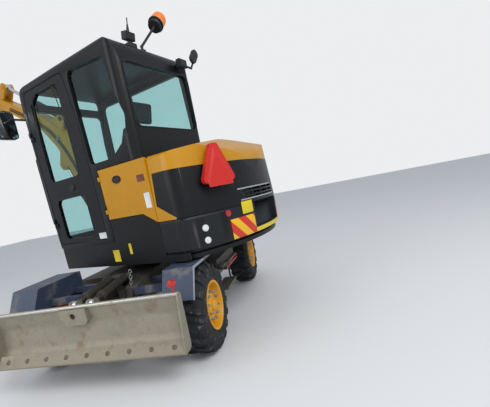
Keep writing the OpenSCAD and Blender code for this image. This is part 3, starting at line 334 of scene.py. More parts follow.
def tube(name, points, radius):
    """A steel line through the given points: a curve that is turned into a mesh with closed ends."""
    deselect()
    bpy.ops.curve.primitive_nurbs_path_add()
    route = bpy.context.object
    route.data.splines.clear()
    spline = route.data.splines.new("NURBS")
    spline.points.add(len(points) - 1)
    for spot, point in zip(spline.points, points):
        spot.co = (*point, 1.0)
    spline.use_endpoint_u = True
    spline.order_u = 3
    spline.resolution_u = 5
    route.data.bevel_depth = radius
    route.data.bevel_resolution = 2
    route.data.use_fill_caps = True
    bpy.ops.object.convert(target="MESH")
    piece = bpy.context.object
    piece.name = piece.data.name = name
    return outward(piece)


def curved_strip(name, radius, thick, low, high, first, last):
    """A strip on the round of the tail, spun about the swing axis from one angle to another, in degrees."""
    middle = (radius + thick / 2, 0, (low + high) / 2)
    piece = started("plane", name, middle, (thick, high - low, 1), (math.pi / 2, 0, 0))
    moved(piece, turned(first, "Z"))
    with editing(piece):
        bpy.ops.mesh.select_all(action="SELECT")
        bpy.ops.mesh.spin(steps=max(2, round(abs(last - first) / 2)), angle=math.radians(last - first),
                          center=(0, 0, 0), axis=(0, 0, -1))
    return outward(piece)


def finish_node(name, material, edge=None):
    """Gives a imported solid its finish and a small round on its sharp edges."""
    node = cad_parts[name]
    node.data.materials.clear()
    node.data.materials.append(material)
    if edge:
        weld = node.modifiers.new("Weld", "WELD")
        weld.merge_threshold = MERGED[1]
        flat = node.modifiers.new("Flat faces", "DECIMATE")
        flat.decimate_type = "DISSOLVE"
        flat.angle_limit = math.radians(FLAT)
        bevel = node.modifiers.new("Edge round", "BEVEL")
        bevel.width, bevel.segments = edge, 2
        bevel.limit_method, bevel.angle_limit = "ANGLE", math.radians(SOLID_SHARP)


# Materials


def add(tree, kind, settings=None, links=None):
    """Adds one shader node with its settings and its links."""
    made = tree.nodes.new("ShaderNode" + kind)
    for name, value in (settings or {}).items():
        if isinstance(name, int) or name in made.inputs:
            made.inputs[name].default_value = value
        else:
            setattr(made, name, value)
    for name, source in (links or {}).items():
        tree.links.new(source, made.inputs[name])
    return made


def new_material(name):
    material = bpy.data.materials.new(name)
    material.use_nodes = True
    material.node_tree.nodes.clear()
    return material, material.node_tree


def soiled(tree, place, wide, colour, rough, soil, share, low):
    """Lays soil over a finish in patches of the wide noise and below a height, and dulls the gloss there."""
    amount = add(tree, "MapRange", {"From Min": 0.62 - 0.35 * share, "From Max": 0.80 - 0.25 * share,
                                    "To Max": min(0.35 + share, 4 * share)}, {"Value": wide}).outputs[0]
    if low is not None:
        height = add(tree, "SeparateXYZ", {}, {0: place}).outputs[2]
        fall = add(tree, "MapRange", {"From Min": low, "From Max": low * 0.35, "To Max": 0.75},
                   {"Value": height})
        heaped = add(tree, "Math", {"operation": "MULTIPLY"}, {0: fall.outputs[0], 1: wide})
        amount = add(tree, "Math", {"operation": "MAXIMUM"}, {0: amount, 1: heaped.outputs[0]}).outputs[0]
    mixed = add(tree, "Mix", {"data_type": "RGBA", 7: opaque(soil)}, {0: amount, 6: colour})
    dulled = add(tree, "Math", {"operation": "MULTIPLY_ADD", 1: 0.3, "use_clamp": True},
                 {0: amount, 2: rough})
    return mixed.outputs[2], dulled.outputs[0]


def surface(
    name, colour, roughness, metallic=0.0, specular=0.5, coat=0.0, tone=0.08, spread=0.08,
    grain=0.004, depth=0.0006, soil=None, share=0.0, patch=0.22, low=None,
):
    """An opaque finish with uneven tone and gloss, a fine texture, and soil in patches and on low parts.

    tone and spread are how far the colour and the roughness stray. grain is the size of the fine texture,
    depth its height and patch the size of the soiled patches. share is how much soil there is, from 0 to 1,
    and low the height below which more gathers.
    """
    material, tree = new_material(name)
    place = add(tree, "TexCoord").outputs["Object"]
    fine = add(tree, "TexNoise", {"Scale": 1 / grain, "Detail": 4.0, "Roughness": 0.6}, {"Vector": place})
    wide = add(tree, "TexNoise", {"Scale": 1 / patch, "Detail": 6.0, "Roughness": 0.62}, {"Vector": place})
    fine, wide = fine.outputs["Fac"], wide.outputs["Fac"]
    shade = add(tree, "MapRange", {"From Min": 0.3, "From Max": 0.7, "To Min": 1 - tone, "To Max": 1 + tone},
                {"Value": wide})
    base = add(tree, "VectorMath", {"operation": "SCALE", 0: colour[:3]},
               {"Scale": shade.outputs[0]}).outputs[0]
    rough = add(tree, "MapRange", {"From Min": 0.3, "From Max": 0.7, "To Min": roughness - spread,
                                   "To Max": roughness + spread}, {"Value": fine}).outputs[0]
    if soil is not None:
        base, rough = soiled(tree, place, wide, base, rough, soil, share, low)
    bump = add(tree, "Bump", {"Strength": 0.6, "Distance": depth}, {"Height": fine})
    shader = add(tree, "BsdfPrincipled",
                 {"Metallic": metallic, "Coat Weight": coat, "Specular IOR Level": specular},
                 {"Base Color": base, "Roughness": rough, "Normal": bump.outputs[0]})
    add(tree, "OutputMaterial", {}, {"Surface": shader.outputs[0]})
    return material


def window_glass(name, tint):
    """Tinted safety glass. The tint is what two panes, with two faces each, leave of the light."""
    material, tree = new_material(name)
    clear = add(tree, "BsdfTransparent", {"Color": opaque([c**0.25 for c in tint])})
    gloss = add(tree, "BsdfGlossy", {"Roughness": 0.03, "Color": (1, 1, 1, 1)})
    edge = add(tree, "Fresnel", {"IOR": 1.45})
    front = add(tree, "Math", {"operation": "SUBTRACT", 0: 1.0},
                {1: add(tree, "NewGeometry").outputs["Backfacing"]})
    share = add(tree, "Math", {"operation": "MULTIPLY"}, {0: edge.outputs[0], 1: front.outputs[0]})
    mixed = add(tree, "MixShader", {}, {0: share.outputs[0], 1: clear.outputs[0], 2: gloss.outputs[0]})
    add(tree, "OutputMaterial", {}, {"Surface": mixed.outputs[0]})
    return material


STRIPE_PITCH = 0.15  # one yellow and one red stripe


def striped(name, angle):
    """A warning sheet in yellow and red, striped aslant at an angle of the tail, in degrees."""
    angle = math.radians(angle)
    round_tail = TO_UPPER.to_3x3() @ Vector((-math.sin(angle), math.cos(angle), 0))
    across = (round_tail + Vector((0, 0, 1))).normalized()
    material, tree = new_material(name)
    place = add(tree, "TexCoord").outputs["Object"]
    along = add(tree, "VectorMath", {"operation": "DOT_PRODUCT", 1: tuple(across)},
                {0: place}).outputs["Value"]
    turns = add(tree, "Math", {"operation": "DIVIDE", 1: STRIPE_PITCH}, {0: along})
    share = add(tree, "Math", {"operation": "FRACT"}, {0: turns.outputs[0]})
    side = add(tree, "Math", {"operation": "GREATER_THAN", 1: 0.5}, {0: share.outputs[0]})
    mixed = add(tree, "Mix",
                {"data_type": "RGBA", 6: opaque(linear("#e8b41a")), 7: opaque(linear("#c7301d"))},
                {0: side.outputs[0]})
    shader = add(tree, "BsdfPrincipled", {"Roughness": 0.32}, {"Base Color": mixed.outputs[2]})
    add(tree, "OutputMaterial", {}, {"Surface": shader.outputs[0]})
    return material


def make_finishes():
    paint = bpy.context.scene.excavator_colours
    dust = tuple(paint.dust)
    return {
        # Baked enamel over sheet steel: glossy, slightly uneven, dulled by dust low down
        # The hood's yellow carries painted shade: it is darker than the enamel itself, as the paint looks in
        # shade
        "yellow": surface("shaded_yellow_enamel", paint.yellow, 0.34, specular=0.35, coat=0.15, tone=0.04,
                          depth=0.0002, soil=dust, share=0.02),
        "rim": surface("rim_enamel", paint.rim_yellow, 0.42, depth=0.0003, soil=dust, share=0.3, patch=0.09),
        "black": surface("black_enamel", paint.black, 0.36, specular=0.3, tone=0.1, depth=0.0003,
                         soil=dust, share=0.006),
        "graphite": surface("graphite_enamel", paint.graphite, 0.48, specular=0.3, tone=0.12,
                            soil=dust, share=0.025, low=0.95),
        "slate": surface("slate_enamel", paint.slate, 0.45, tone=0.1, soil=dust, share=0.3),
        # Rolled steel that soil scours: dull silver under clay, with rust in the hollows and low down
        "blade": surface("scoured_steel", paint.blade, 0.55, metallic=0.55, tone=0.16, depth=0.0012,
                         soil=linear("#6b4a30"), share=0.3, patch=0.12, low=0.44),
        "worn_bolt": surface("worn_bolt_steel", linear("#6f675a"), 0.5, metallic=0.6,
                             soil=linear("#5a432e"), share=0.4, patch=0.03),
        # Painted highlight: a pale steel, brighter than the blade, for the light caught along the blade's top
        # edge, with dust in patches
        "edge_highlight": surface("painted_highlight_steel", linear("#b9b6ad"), 0.34, metallic=0.75, tone=0.1,
                               soil=linear("#8a7a62"), share=0.2, patch=0.06),
        # Machined steel, bare: an even grey gleam
        "steel": surface("bare_steel", linear("#a9adb0"), 0.38, metallic=0.9, tone=0.1),
        # Hard chrome plate on ground steel: a clean mirror streak along each rod
        "chrome": surface("hard_chrome", linear("#d9dbdd"), 0.16, metallic=1.0, tone=0.03, spread=0.04,
                          depth=0.0001),
        # Zinc plate on small hardware and on the treads: a dull silver with a faint cloudy sheen
        "zinc": surface("zinc_plate", linear("#9a9c98"), 0.42, metallic=0.85, tone=0.12, depth=0.0002,
                        patch=0.03),
        "tread": surface("galvanised_tread", linear("#a3a5a3"), 0.5, metallic=0.5,
                         soil=dust, share=0.3, patch=0.05),
        # Painted reflections: pale metal strips laid where bright reflections run along the edges of the tail
        "reflection_line": surface("painted_reflection_strip", linear("#c9ccd0"), 0.25, metallic=0.8, tone=0.04,
                              depth=0.0001),
        # Silvered glass: a clean mirror
        "mirror": surface("silvered_mirror", linear("#c8ced2"), 0.06, metallic=1.0, tone=0.02, spread=0.02,
                          depth=0.00005),
        # Vulcanised and extruded rubber: matt, greyed by dry dust in the tread
        "tyre": surface("tyre_rubber", paint.tyre, 0.82, specular=0.3, tone=0.15, depth=0.0012,
                        soil=dust, share=0.16, patch=0.05),
        "rubber": surface("black_rubber", linear("#141416"), 0.7, depth=0.0003, soil=dust, share=0.1),
        "trim": surface("edging_rubber_grey", linear("#8d9299"), 0.6, depth=0.0003, soil=dust, share=0.25),
        # Painted steel line: a dark satin tube
        "hose": surface("painted_line", linear("#1a1b1d"), 0.45, depth=0.0002, soil=dust, share=0.15),
        # Injection-moulded plastic with a fine spark-eroded grain: soft grey highlights
        "plastic": surface("moulded_plastic", linear("#1c1d1f"), 0.55, grain=0.0015, depth=0.0004),
        # Moulded lens plastics: saturated and wet-looking
        "orange": surface("amber_polycarbonate", linear("#f07a12"), 0.22, coat=0.4, spread=0.03,
                          depth=0.0001),
        "red": surface("red_reflector", linear("#c8231b"), 0.3, tone=0.06, spread=0.04, depth=0.0002),
        "red_lens": surface("red_lens_acrylic", linear("#b3180f"), 0.18, coat=0.6, tone=0.05, spread=0.03,
                            depth=0.0001),
        "clear_lens": surface("clear_lens_acrylic", linear("#cfd6da"), 0.14, coat=0.6, tone=0.04, spread=0.03,
                              depth=0.0001),
        # Laminated safety glass: a green-blue tint with sharp reflections
        "glass": window_glass("tinted_safety_glass", paint.glass),
        # Printed vinyl and retroreflecting sheet: flat, saturated, even colours
        "chevron_left": striped("warning_sheet_left", 166.5),
        "chevron_right": striped("warning_sheet_right", 205),
        "yellow_plate": surface("yellow_sheet", linear("#dcc21a"), 0.35, tone=0.03, depth=0.0001),
        "brown_plate": surface("brown_sheet", linear("#6e3324"), 0.4, tone=0.04, depth=0.0001),
        "white": surface("white_vinyl", linear("#dcdedf"), 0.4, tone=0.03, depth=0.0001),
        # Woven seat cloth: dark and matt, with a thread bump drawn as coarse as it needs to show
        "fabric": surface("seat_cloth", linear("#25272b"), 0.9, tone=0.1, grain=0.0018, depth=0.0009,
                          patch=0.12),
    }


NODE_FINISHES = {
    "graphite": "chassis_frame knuckle_left knuckle_right steps blade_links blade_top_link blade_barrels "
    "counterweight boom_barrel arm_barrel bucket_barrel bucket rocker bucket_link tank_cover",
    "black": "drive_axle steer_axle upper_frame side_panels engine_door cab_shell cab_door handrails "
    "mirror_arm kingpost",
    "steel": "slew_ring engine",
    "chrome": "blade_rods boom_rod arm_rod bucket_rod",
    "slate": "fenders",
    "blade": "blade",
    "yellow": "hood battery_door boom arm",
    "rim": "rim_drive_left rim_drive_right rim_steer_left rim_steer_right",
    "tyre": "tyre_drive_left tyre_drive_right tyre_steer_left tyre_steer_right",
    "glass": "cab_glass door_glass",
    "plastic": "seat console roof_lamps beacon_stem",
    "orange": "beacon",
    "red": "rear_signs blade_lamps",
}
SHARP_NODES = (NODE_FINISHES["glass"] + " " + NODE_FINISHES["tyre"]).split()
FINISHES = {}


class EXCAVATOR_OT_finishes(bpy.types.Operator):
    """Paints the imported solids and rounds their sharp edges"""

    bl_idname = "excavator.finishes"
    bl_label = "Paint the solids"

    def execute(self, context):
        FINISHES.update(make_finishes())
        edge = context.scene.excavator_sizes.edge
        for finish, nodes in NODE_FINISHES.items():
            for name in nodes.split():
                finish_node(name, FINISHES[finish], None if name in SHARP_NODES else edge)
        return {"FINISHED"}


# Wheels, measured from the middle of the tyre

DRIVE_X, STEER_X, AXLE_Z, TYRE_Y = 1.14, -0.96, 0.415, 0.79
WHEELS = (
    ("drive_left", DRIVE_X, 1), ("drive_right", DRIVE_X, -1),
    ("steer_left", STEER_X, 1), ("steer_right", STEER_X, -1),
)


class EXCAVATOR_OT_wheel_fittings(bpy.types.Operator):
    """Adds the wheel nuts, the hub covers and the valves"""

    bl_idname = "excavator.wheel_fittings"
    bl_label = "Wheel fittings"

    def execute(self, context):
        parts = (model_wheel_nuts(), "zinc"), (model_hub_cover(), "rim"), (model_valve(), "rubber")
        for name, x, side in WHEELS:
            frame = TO_CHASSIS @ Matrix.Translation((x, side * TYRE_Y, AXLE_Z))
            if side < 0:
                frame = frame @ turned(180, "Z")
            for part, finish in parts:
                settle(copied(part, f"{part.name}_{name}", Matrix()), frame, f"wheel_{name}", finish)
        for part, _ in parts:
            bpy.data.objects.remove(part)
        return {"FINISHED"}


def model_wheel_nuts():
    """Ten nuts with washers and stud ends on the flat ring of the rim."""
    seat, circle, height = 0.104, 0.128, 0.022
    nut = disc("wheel_nuts", (0, seat + height / 2, circle), 0.0135, height, "Y", 6)
    with editing(nut, 1):
        inset(0.0045)
        extrude((0, 0.012, 0))
        inset(0.002, 0.0015)
        choose(nut, facing(1, -1))
        extrude((0, 0.0001, 0), (1.35, 1, 1.35), (0, seat, circle))
        extrude((0, -0.002, 0))
    return ringed(outward(softened(nut, 0.0012)), 10)


def model_hub_cover():
    """A domed cover with a stepped rim and six small screws."""
    top = 0.133
    cover = disc("hub_cover", (0, top - 0.006, 0), 0.058, 0.012, "Y", 40)
    with editing(cover, 1):
        inset(0.008)
        extrude((0, 0.010, 0), (0.92, 1, 0.92), (0, top + 0.010, 0))
        inset(0.012)
        extrude((0, 0.004, 0), (0.85, 1, 0.85), (0, top + 0.014, 0))
        inset(0.009, -0.004)
    softened(cover, 0.0015)
    screw = disc("hub_screws", (0, top + 0.003, 0.053), 0.0042, 0.008, "Y", 6)
    stepped(screw, 1, 1, (0.0015, -0.0015))
    return joined([cover, ringed(screw, 6)], "hub_cover")


def model_valve():
    """The valve's stem and its cap, on the flat ring of the rim."""
    end, circle = 0.096, 0.172
    valve = disc("valve", (0, end - 0.011, circle), 0.006, 0.022, "Y", 12)
    with editing(valve, 1):
        extrude((0, 0.001, 0), (0.6, 1, 0.6), (0, end + 0.001, circle))
        extrude((0, 0.012, 0))
        extrude((0, 0.0, 0), (1.5, 1, 1.5), (0, end + 0.013, circle))
        extrude((0, 0.010, 0))
    return softened(valve, 0.0008)


# Blade, mudguards and steps, on the chassis

BLADE_X, BLADE_HALF, BLADE_LOW, BLADE_TOP = 1.790, 0.860, 0.293, 0.740
GUARD_REAR, GUARD_KNEE, GUARD_FRONT = DRIVE_X - 0.332, DRIVE_X + 0.261, DRIVE_X + 0.403
GUARD_TOP, GUARD_LOW = 0.861, 0.616
STEP_X, STEP_Y, RAIL_LENGTH, RAIL_HEIGHTS = 0.11, 0.88, 0.52, (0.545, 0.590)
TREADS = (  # ends, edges and height
    (0.402, 0.598, 0.853, 0.903, 0.6245), (0.122, 0.348, 0.853, 0.908, 0.5845),
)
CHAIN_FIRST, CHAIN_LAST = Vector((1.085, 0.135, 0.829)), Vector((1.215, 0.195, 0.729))


class EXCAVATOR_OT_blade_fittings(bpy.types.Operator):
    """Adds the cutting edge's bolts, the lamps' lenses, the chain and the trim of the mudguards and steps"""

    bl_idname = "excavator.blade_fittings"
    bl_label = "Blade, mudguard and step fittings"

    def execute(self, context):
        settle(model_edge_bolts(), TO_CHASSIS, "blade", "worn_bolt")
        # The top bead's pale steel paints the highlight along the blade's top edge
        settle(model_top_bead(), TO_CHASSIS, "blade", "edge_highlight")
        for side, name in ((1, "left"), (-1, "right")):
            settle(model_marker_lens(f"blade_lens_{name}", side), TO_CHASSIS, "blade", "red_lens")
            settle(model_guard_trim(f"mudguard_trim_{name}", side), TO_CHASSIS, "chassis", "trim")
            settle(model_rails(f"step_rails_{name}", side), TO_CHASSIS, "chassis", "red")
            settle(model_treads(f"step_treads_{name}", side), TO_CHASSIS, "chassis", "tread")
        settle(model_chain(), TO_CHASSIS, "chassis", "zinc")
        return {"FINISHED"}


def model_edge_bolts():
    """Countersunk bolts along the sloping cutting edge."""
    slope, first, pitch = Vector((0.084, 0, 0.062)), -0.76, 0.19
    bolt = disc("blade_bolts", (0, 0, 0), 0.019, 0.006, "Z", 16)
    softened(stepped(bolt, 2, 1, (0.004, 0.0015), (0.006, -0.003)), 0.001)
    lean = Vector((0, 0, 1)).rotation_difference(slope.normalized()).to_matrix().to_4x4()
    moved(bolt, Matrix.Translation((BLADE_X - 0.030, first, BLADE_LOW + 0.053)) @ lean)
    return repeated(bolt, [Matrix.Translation((0, pitch * i, 0)) for i in range(1, 9)])


def model_top_bead():
    """A bead along the top edge of the blade."""
    x, z = BLADE_X - 0.088, BLADE_TOP - 0.003
    bead = disc("blade_top_bead", (x, 0, z), 0.0175, 2 * BLADE_HALF - 0.004, "Y", 20)
    with editing(bead):
        for side in (1, -1):
            choose(bead, facing(1, side))
            inset(0.003)
            extrude((0, side * 0.001, 0), (0.8, 1, 0.8), (x, side * BLADE_HALF, z))
    return bead


def model_marker_lens(name, side):
    """A round ribbed lens in a rim, facing ahead."""
    lens = disc(name, (BLADE_X - 0.068, side * (BLADE_HALF - 0.03), BLADE_TOP + 0.082), 0.031, 0.010, "X", 32)
    with editing(lens, 0):
        inset(0.003)
        extrude((0.004, 0, 0))
        for width, depth in 2 * ((0.006, -0.002), (0.004, 0.003)):
            inset(width, depth)
    return softened(lens, 0.0008)


def model_guard_trim(name, side):
    """Pale rubber edging that wraps the outer lip of a mudguard."""
    height, inner, outer = 0.0225, 0.8985, 0.9065
    rows = [
        (GUARD_REAR, GUARD_TOP, 0), (GUARD_KNEE, GUARD_TOP, 0.02), (GUARD_FRONT, GUARD_LOW, 0),
        (GUARD_FRONT - 0.023, GUARD_LOW, 0), (GUARD_KNEE - 0.010, GUARD_TOP - height, 0.02),
        (GUARD_REAR, GUARD_TOP - height, 0),
    ]
    return softened(plate(name, rows, *sorted((side * inner, side * outer))), 0.002)


def model_rails(name, side):
    """Sleeves over the two rails of the step, with flared ends."""
    rails = []
    for i, z in enumerate(RAIL_HEIGHTS):
        rail = disc(f"{name}_{i}", (STEP_X, side * STEP_Y, z), 0.0105, RAIL_LENGTH, "X", 20)
        with editing(rail):
            for end in (-1, 1):
                choose(rail, facing(0, end))
                extrude((end * 0.002, 0, 0), (1, 1.25, 1.25), (0, side * STEP_Y, z))
                extrude((end * 0.012, 0, 0))
                inset(0.002, -0.001)
        rails.append(rail)
    return softened(joined(rails, name), 0.001)


def model_treads(name, side):
    """Grip plates with raised teeth on the treads of the step."""
    plates = []
    for i, (x0, x1, y0, y1, z) in enumerate(TREADS):
        middle = ((x0 + x1) / 2, side * (y0 + y1) / 2, z)
        tread = started("cube", f"{name}_{i}", middle, (x1 - x0, y1 - y0, 0.003))
        plates.append(studded(tread, 2, 1, (3, 1), 0.003, 0.0028))
    return joined(plates, name)


def model_chain():
    """A short safety chain of welded links, laid in a shallow sag over the post of the blade's frame."""
    count, sag, longer = 6, 0.008, 0.007
    along = CHAIN_LAST - CHAIN_FIRST
    links = []
    for i in range(count):
        link = started("torus", f"safety_chain_{i}", major_radius=0.013, minor_radius=0.0038,
                       major_segments=18, minor_segments=8)
        with editing(link):
            choose(link, lambda middle, normal: middle.x > 0)
            bpy.ops.transform.translate(value=(longer, 0, 0))
            choose(link, lambda middle, normal: middle.x < -0.002)
            bpy.ops.transform.translate(value=(-longer, 0, 0))
        share = i / (count - 1)
        place = CHAIN_FIRST + share * along - Vector((0, 0, sag * math.sin(math.pi * share)))
        ahead = along - Vector((0, 0, sag * math.pi * math.cos(math.pi * share)))
        turn = ahead.to_track_quat("X", "Z").to_matrix().to_4x4() @ turned(90 * (i % 2), "X")
        links.append(moved(link, Matrix.Translation(place) @ turn))
    return joined(links, "safety_chain")


# Tail and sides, on the upper body

TAIL, SIDE = 1.515, 0.923  # the round of the tail from the swing axis, and the left side
STRIPS = (  # name, finish, radius, thickness, lower and upper edge, first and last angle
    ("chevron_left", "chevron_left", TAIL, 0.003, 0.950, 1.136, 160.1, 172.8),
    ("chevron_right", "chevron_right", TAIL, 0.0015, 0.950, 1.136, 199.0, 211.5),
    ("chevron_strip", "yellow_plate", TAIL, 0.002, 0.950, 0.990, 172.8, 199.0),
    ("tail_plate", "yellow_plate", TAIL - 0.002, 0.004, 1.157, 1.274, 166.6, 172.7),
    # Painted reflections: two pale strips where bright reflections run along the tail's edges
    ("tail_reflection_low", "reflection_line", TAIL - 0.002, 0.003, 1.284, 1.296, 167.0, 196.0),
    ("tail_reflection_high", "reflection_line", TAIL - 0.010, 0.003, 1.392, 1.404, 166.3, 193.2),
)
ROUND_LENSES = (  # name, finish, angle and height
    ("tail_lamp_left", "red_lens", 159.8, 1.200), ("tail_lamp_right", "red_lens", 212.6, 1.200),
    ("reflector_high", "white", 149.9, 1.123), ("reflector_low", "white", 149.9, 1.013),
)
LABELS = (  # name, finish, body, X and Z of the middle, length and height
    ("side_label_white", "white", "battery_door", -0.872, 1.456, 0.067, 0.136),
    ("side_label_brown", "brown_plate", "battery_door", -0.845, 1.660, 0.093, 0.062),
    ("decal_front", "yellow_plate", "upper", -0.280, 0.977, 0.091, 0.119),
    ("decal_rear", "yellow_plate", "upper", -0.498, 1.036, 0.035, 0.105),
    ("door_label", "white", "cab_door", -0.145, 1.200, 0.110, 0.060),
)
LATCHES = (("battery_latch", "battery_door", -0.54, 1.700), ("door_handle", "cab_door", 0.15, 1.740))


class EXCAVATOR_OT_tail_fittings(bpy.types.Operator):
    """Adds the warning plates, the lamps, the strips of painted reflection and the latches of the tail and the
    sides
    """

    bl_idname = "excavator.tail_fittings"
    bl_label = "Tail and side fittings"

    def execute(self, context):
        for name, finish, radius, thick, low, high, first, last in STRIPS:
            strip = curved_strip(name, radius, thick, low, high, first, last)
            settle(softened(strip, thick * 0.3), TO_UPPER, "upper", finish)
        for name, finish, angle, z in ROUND_LENSES:
            settle(model_round_lens(name, z, angle), TO_UPPER, "upper", finish)
        for name, finish, body, x, z, length, height in LABELS:
            settle(model_label(name, x, z, length, height), TO_UPPER, body, finish)
        for name, body, x, z in LATCHES:
            settle(model_latch(name, x, z), TO_UPPER, body, "plastic")
        return {"FINISHED"}


def model_round_lens(name, z, angle):
    """A round lens in a rim on the round of the tail, with two stepped rings."""
    radius = 0.030
    lens = disc(name, (TAIL - 0.001, 0, z), radius, 0.008, "X", 32)
    with editing(lens, 0):
        inset(radius * 0.12)
        extrude((0.003, 0, 0), (1, 0.96, 0.96), (TAIL, 0, z))
        inset(radius * 0.3, -0.0015)
        inset(radius * 0.15, 0.0015)
    return softened(moved(lens, turned(angle, "Z")), 0.0008)


def model_label(name, x, z, length, height):
    """A stuck-on label with a raised border."""
    label = started("cube", name, (x, SIDE, z), (length, 0.002, height))
    return softened(stepped(label, 1, 1, (0.004, 0.0), (0.001, -0.0006)), 0.0006)


def model_latch(name, x, z):
    """A paddle latch: an oval cup with a recessed lever and a key barrel."""
    cup = disc(name, (x, SIDE + 0.002, z), 0.036, 0.010, "Y", 36, stretch=(1.6, 1, 1))
    softened(stepped(cup, 1, 1, (0.006, 0.0), (0.003, -0.006)), 0.0012)
    lever = started("cube", f"{name}_lever", (x - 0.004, SIDE + 0.004, z), (0.066, 0.010, 0.024))
    with editing(lever, 0, -1):
        extrude((-0.010, 0.004, 0), (1, 0.5, 0.85), (x - 0.047, SIDE + 0.008, z))
    softened(stepped(lever, 1, 1, (0.003, -0.001)), 0.0015)
    barrel = disc(f"{name}_barrel", (x + 0.036, SIDE + 0.004, z), 0.008, 0.012, "Y", 20)
    return joined([cup, lever, stepped(barrel, 1, 1, (0.0025, -0.001))], name)


# Cab, on the upper body

CAB_REAR = -0.872
PANE_REAR, PANE_FRONT = -0.035, 0.470  # the door's panes
PANE_HIGH = [
    (PANE_REAR, 1.830, 0.06), (PANE_FRONT, 1.830, 0.06), (PANE_FRONT, 2.280, 0.05),
    (PANE_FRONT - 0.055, 2.735, 0.06), (PANE_REAR + 0.070, 2.735, 0.06), (PANE_REAR, 2.280, 0.05),
]
PANE_LOW = [
    (PANE_REAR, 1.200, 0.05), (PANE_FRONT, 1.200, 0.06), (PANE_FRONT, 1.650, 0.06), (PANE_REAR, 1.650, 0.06),
]
REAR_WINDOW = corners(-0.052, 0.848, 2.105, 2.680, 0.07)
MIRROR = corners(0.918, 1.108, 2.405, 2.685, 0.04)
MIRROR_X = 0.8475
LAMP_X, LAMP_Z = 0.530, 2.890


class EXCAVATOR_OT_cab_fittings(bpy.types.Operator):
    """Adds the rubber gaskets, the mirror's glass and the work lamps of the cab"""

    bl_idname = "excavator.cab_fittings"
    bl_label = "Cab fittings"

    def execute(self, context):
        for name, rows, body, low, high, axis in (
            ("door_gasket_high", PANE_HIGH, "cab_door", SIDE - 0.001, SIDE + 0.002, 1),
            ("door_gasket_low", PANE_LOW, "cab_door", SIDE - 0.001, SIDE + 0.002, 1),
            ("rear_gasket", REAR_WINDOW, "upper", CAB_REAR - 0.002, CAB_REAR + 0.002, 0),
        ):
            settle(softened(gasket(name, rows, 0.011, low, high, axis), 0.001), TO_UPPER, body, "rubber")
        settle(model_mirror_glass(), TO_UPPER, "upper", "mirror")
        for name, y in (("work_lamp_left", 0.74), ("work_lamp_right", 0.10)):
            for part, finish in zip(model_work_lamp(name, y), ("plastic", "clear_lens")):
                settle(part, TO_UPPER, "upper", finish)
        return {"FINISHED"}


def model_mirror_glass():
    """The silvered glass of the side mirror, set in a thin rim."""
    glass = plate("mirror_glass", MIRROR, MIRROR_X, MIRROR_X + 0.003, axis=0)
    return stepped(glass, 0, -1, (0.006, 0.001))


def model_work_lamp(name, y):
    """A work lamp on the front edge of the roof: the finned housing, and the lens in its rim."""
    box = started("cube", f"{name}_housing", (LAMP_X, y, LAMP_Z), (0.060, 0.110, 0.070))
    stepped(studded(box, 0, -1, (3,), 0.004, -0.006), 0, 1, (0.006, -0.004))
    lens = started("cube", f"{name}_lens", (LAMP_X + 0.026, y, LAMP_Z), (0.006, 0.094, 0.054))
    studded(lens, 0, 1, (3,), 0.003, 0.002)
    return softened(box, 0.003), softened(lens, 0.0006)


# Seat, on the upper body

SEAT_Y, FOOT_X = 0.380, 0.015
CUSHIONS = (  # name, place, size, lean and the distance of its sewn channels from the middle
    ("seat_cushion", (0.000, SEAT_Y, 1.640), (0.46, 0.44, 0.085), 3, 0.13),
    ("seat_back", (-0.310, SEAT_Y, 1.970), (0.100, 0.44, 0.60), -29, 0.13),
    ("seat_headrest", (-0.520, SEAT_Y, 2.350), (0.075, 0.27, 0.22), -15, None),
)
CLOTH_FRAMES, CLOTH_PRESSURE, LARGEST_SWELL = 20, 4.0, 0.012
ARMREST = [
    (-0.160, 1.630, 0.02), (0.192, 1.630, 0.04), (0.220, 1.836, 0.04), (0.060, 1.845, 0.03),
    (-0.160, 1.756, 0.04),
]


class EXCAVATOR_OT_seat(bpy.types.Operator):
    """Replaces the plain seat solid: stuffed cushions, the armrests and the bellows under them"""

    bl_idname = "excavator.seat"
    bl_label = "Driver's seat"

    def execute(self, context):
        for name, place, size, lean, channel in CUSHIONS:
            piece = model_cushion(name, size, channel)
            frame = TO_UPPER @ Matrix.Translation(place) @ turned(lean, "Y")
            settle(piece, frame, "upper", "fabric", smooth=80)
            if name == "seat_cushion":
                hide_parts("seat")
        settle(model_bellows(), TO_UPPER, "upper", "rubber")
        settle(model_armrests(), TO_UPPER, "upper", "plastic")
        return {"FINISHED"}


def model_cushion(name, size, channel):
    """A stuffed cushion: a rounded block blown up as cloth, held at its back and along its seams."""
    height = min(size)
    thin = size.index(height)
    piece = started("cube", name, size=tuple(s * (0.86 if i == thin else 0.93) for i, s in enumerate(size)))
    softened(piece, height * 0.36, segments=4)
    fine = piece.modifiers.new("Even faces", "REMESH")
    fine.mode, fine.voxel_size = "VOXEL", 0.006
    bpy.ops.object.modifier_apply(modifier=fine.name)
    held = piece.vertex_groups.new(name="held")
    for vertex in piece.data.vertices:
        across, level = vertex.co.y, vertex.co[thin]
        seam = channel is not None and abs(abs(across) - channel) < 0.004 and level > 0
        if seam or abs(level) < 0.004 or level < -height * 0.3:
            held.add([vertex.index], 1.0, "REPLACE")
    blow_up(piece, held.name)
    smooth = piece.modifiers.new("Smooth", "SUBSURF")
    smooth.levels = smooth.render_levels = 1
    bpy.ops.object.modifier_apply(modifier=smooth.name)
    return piece


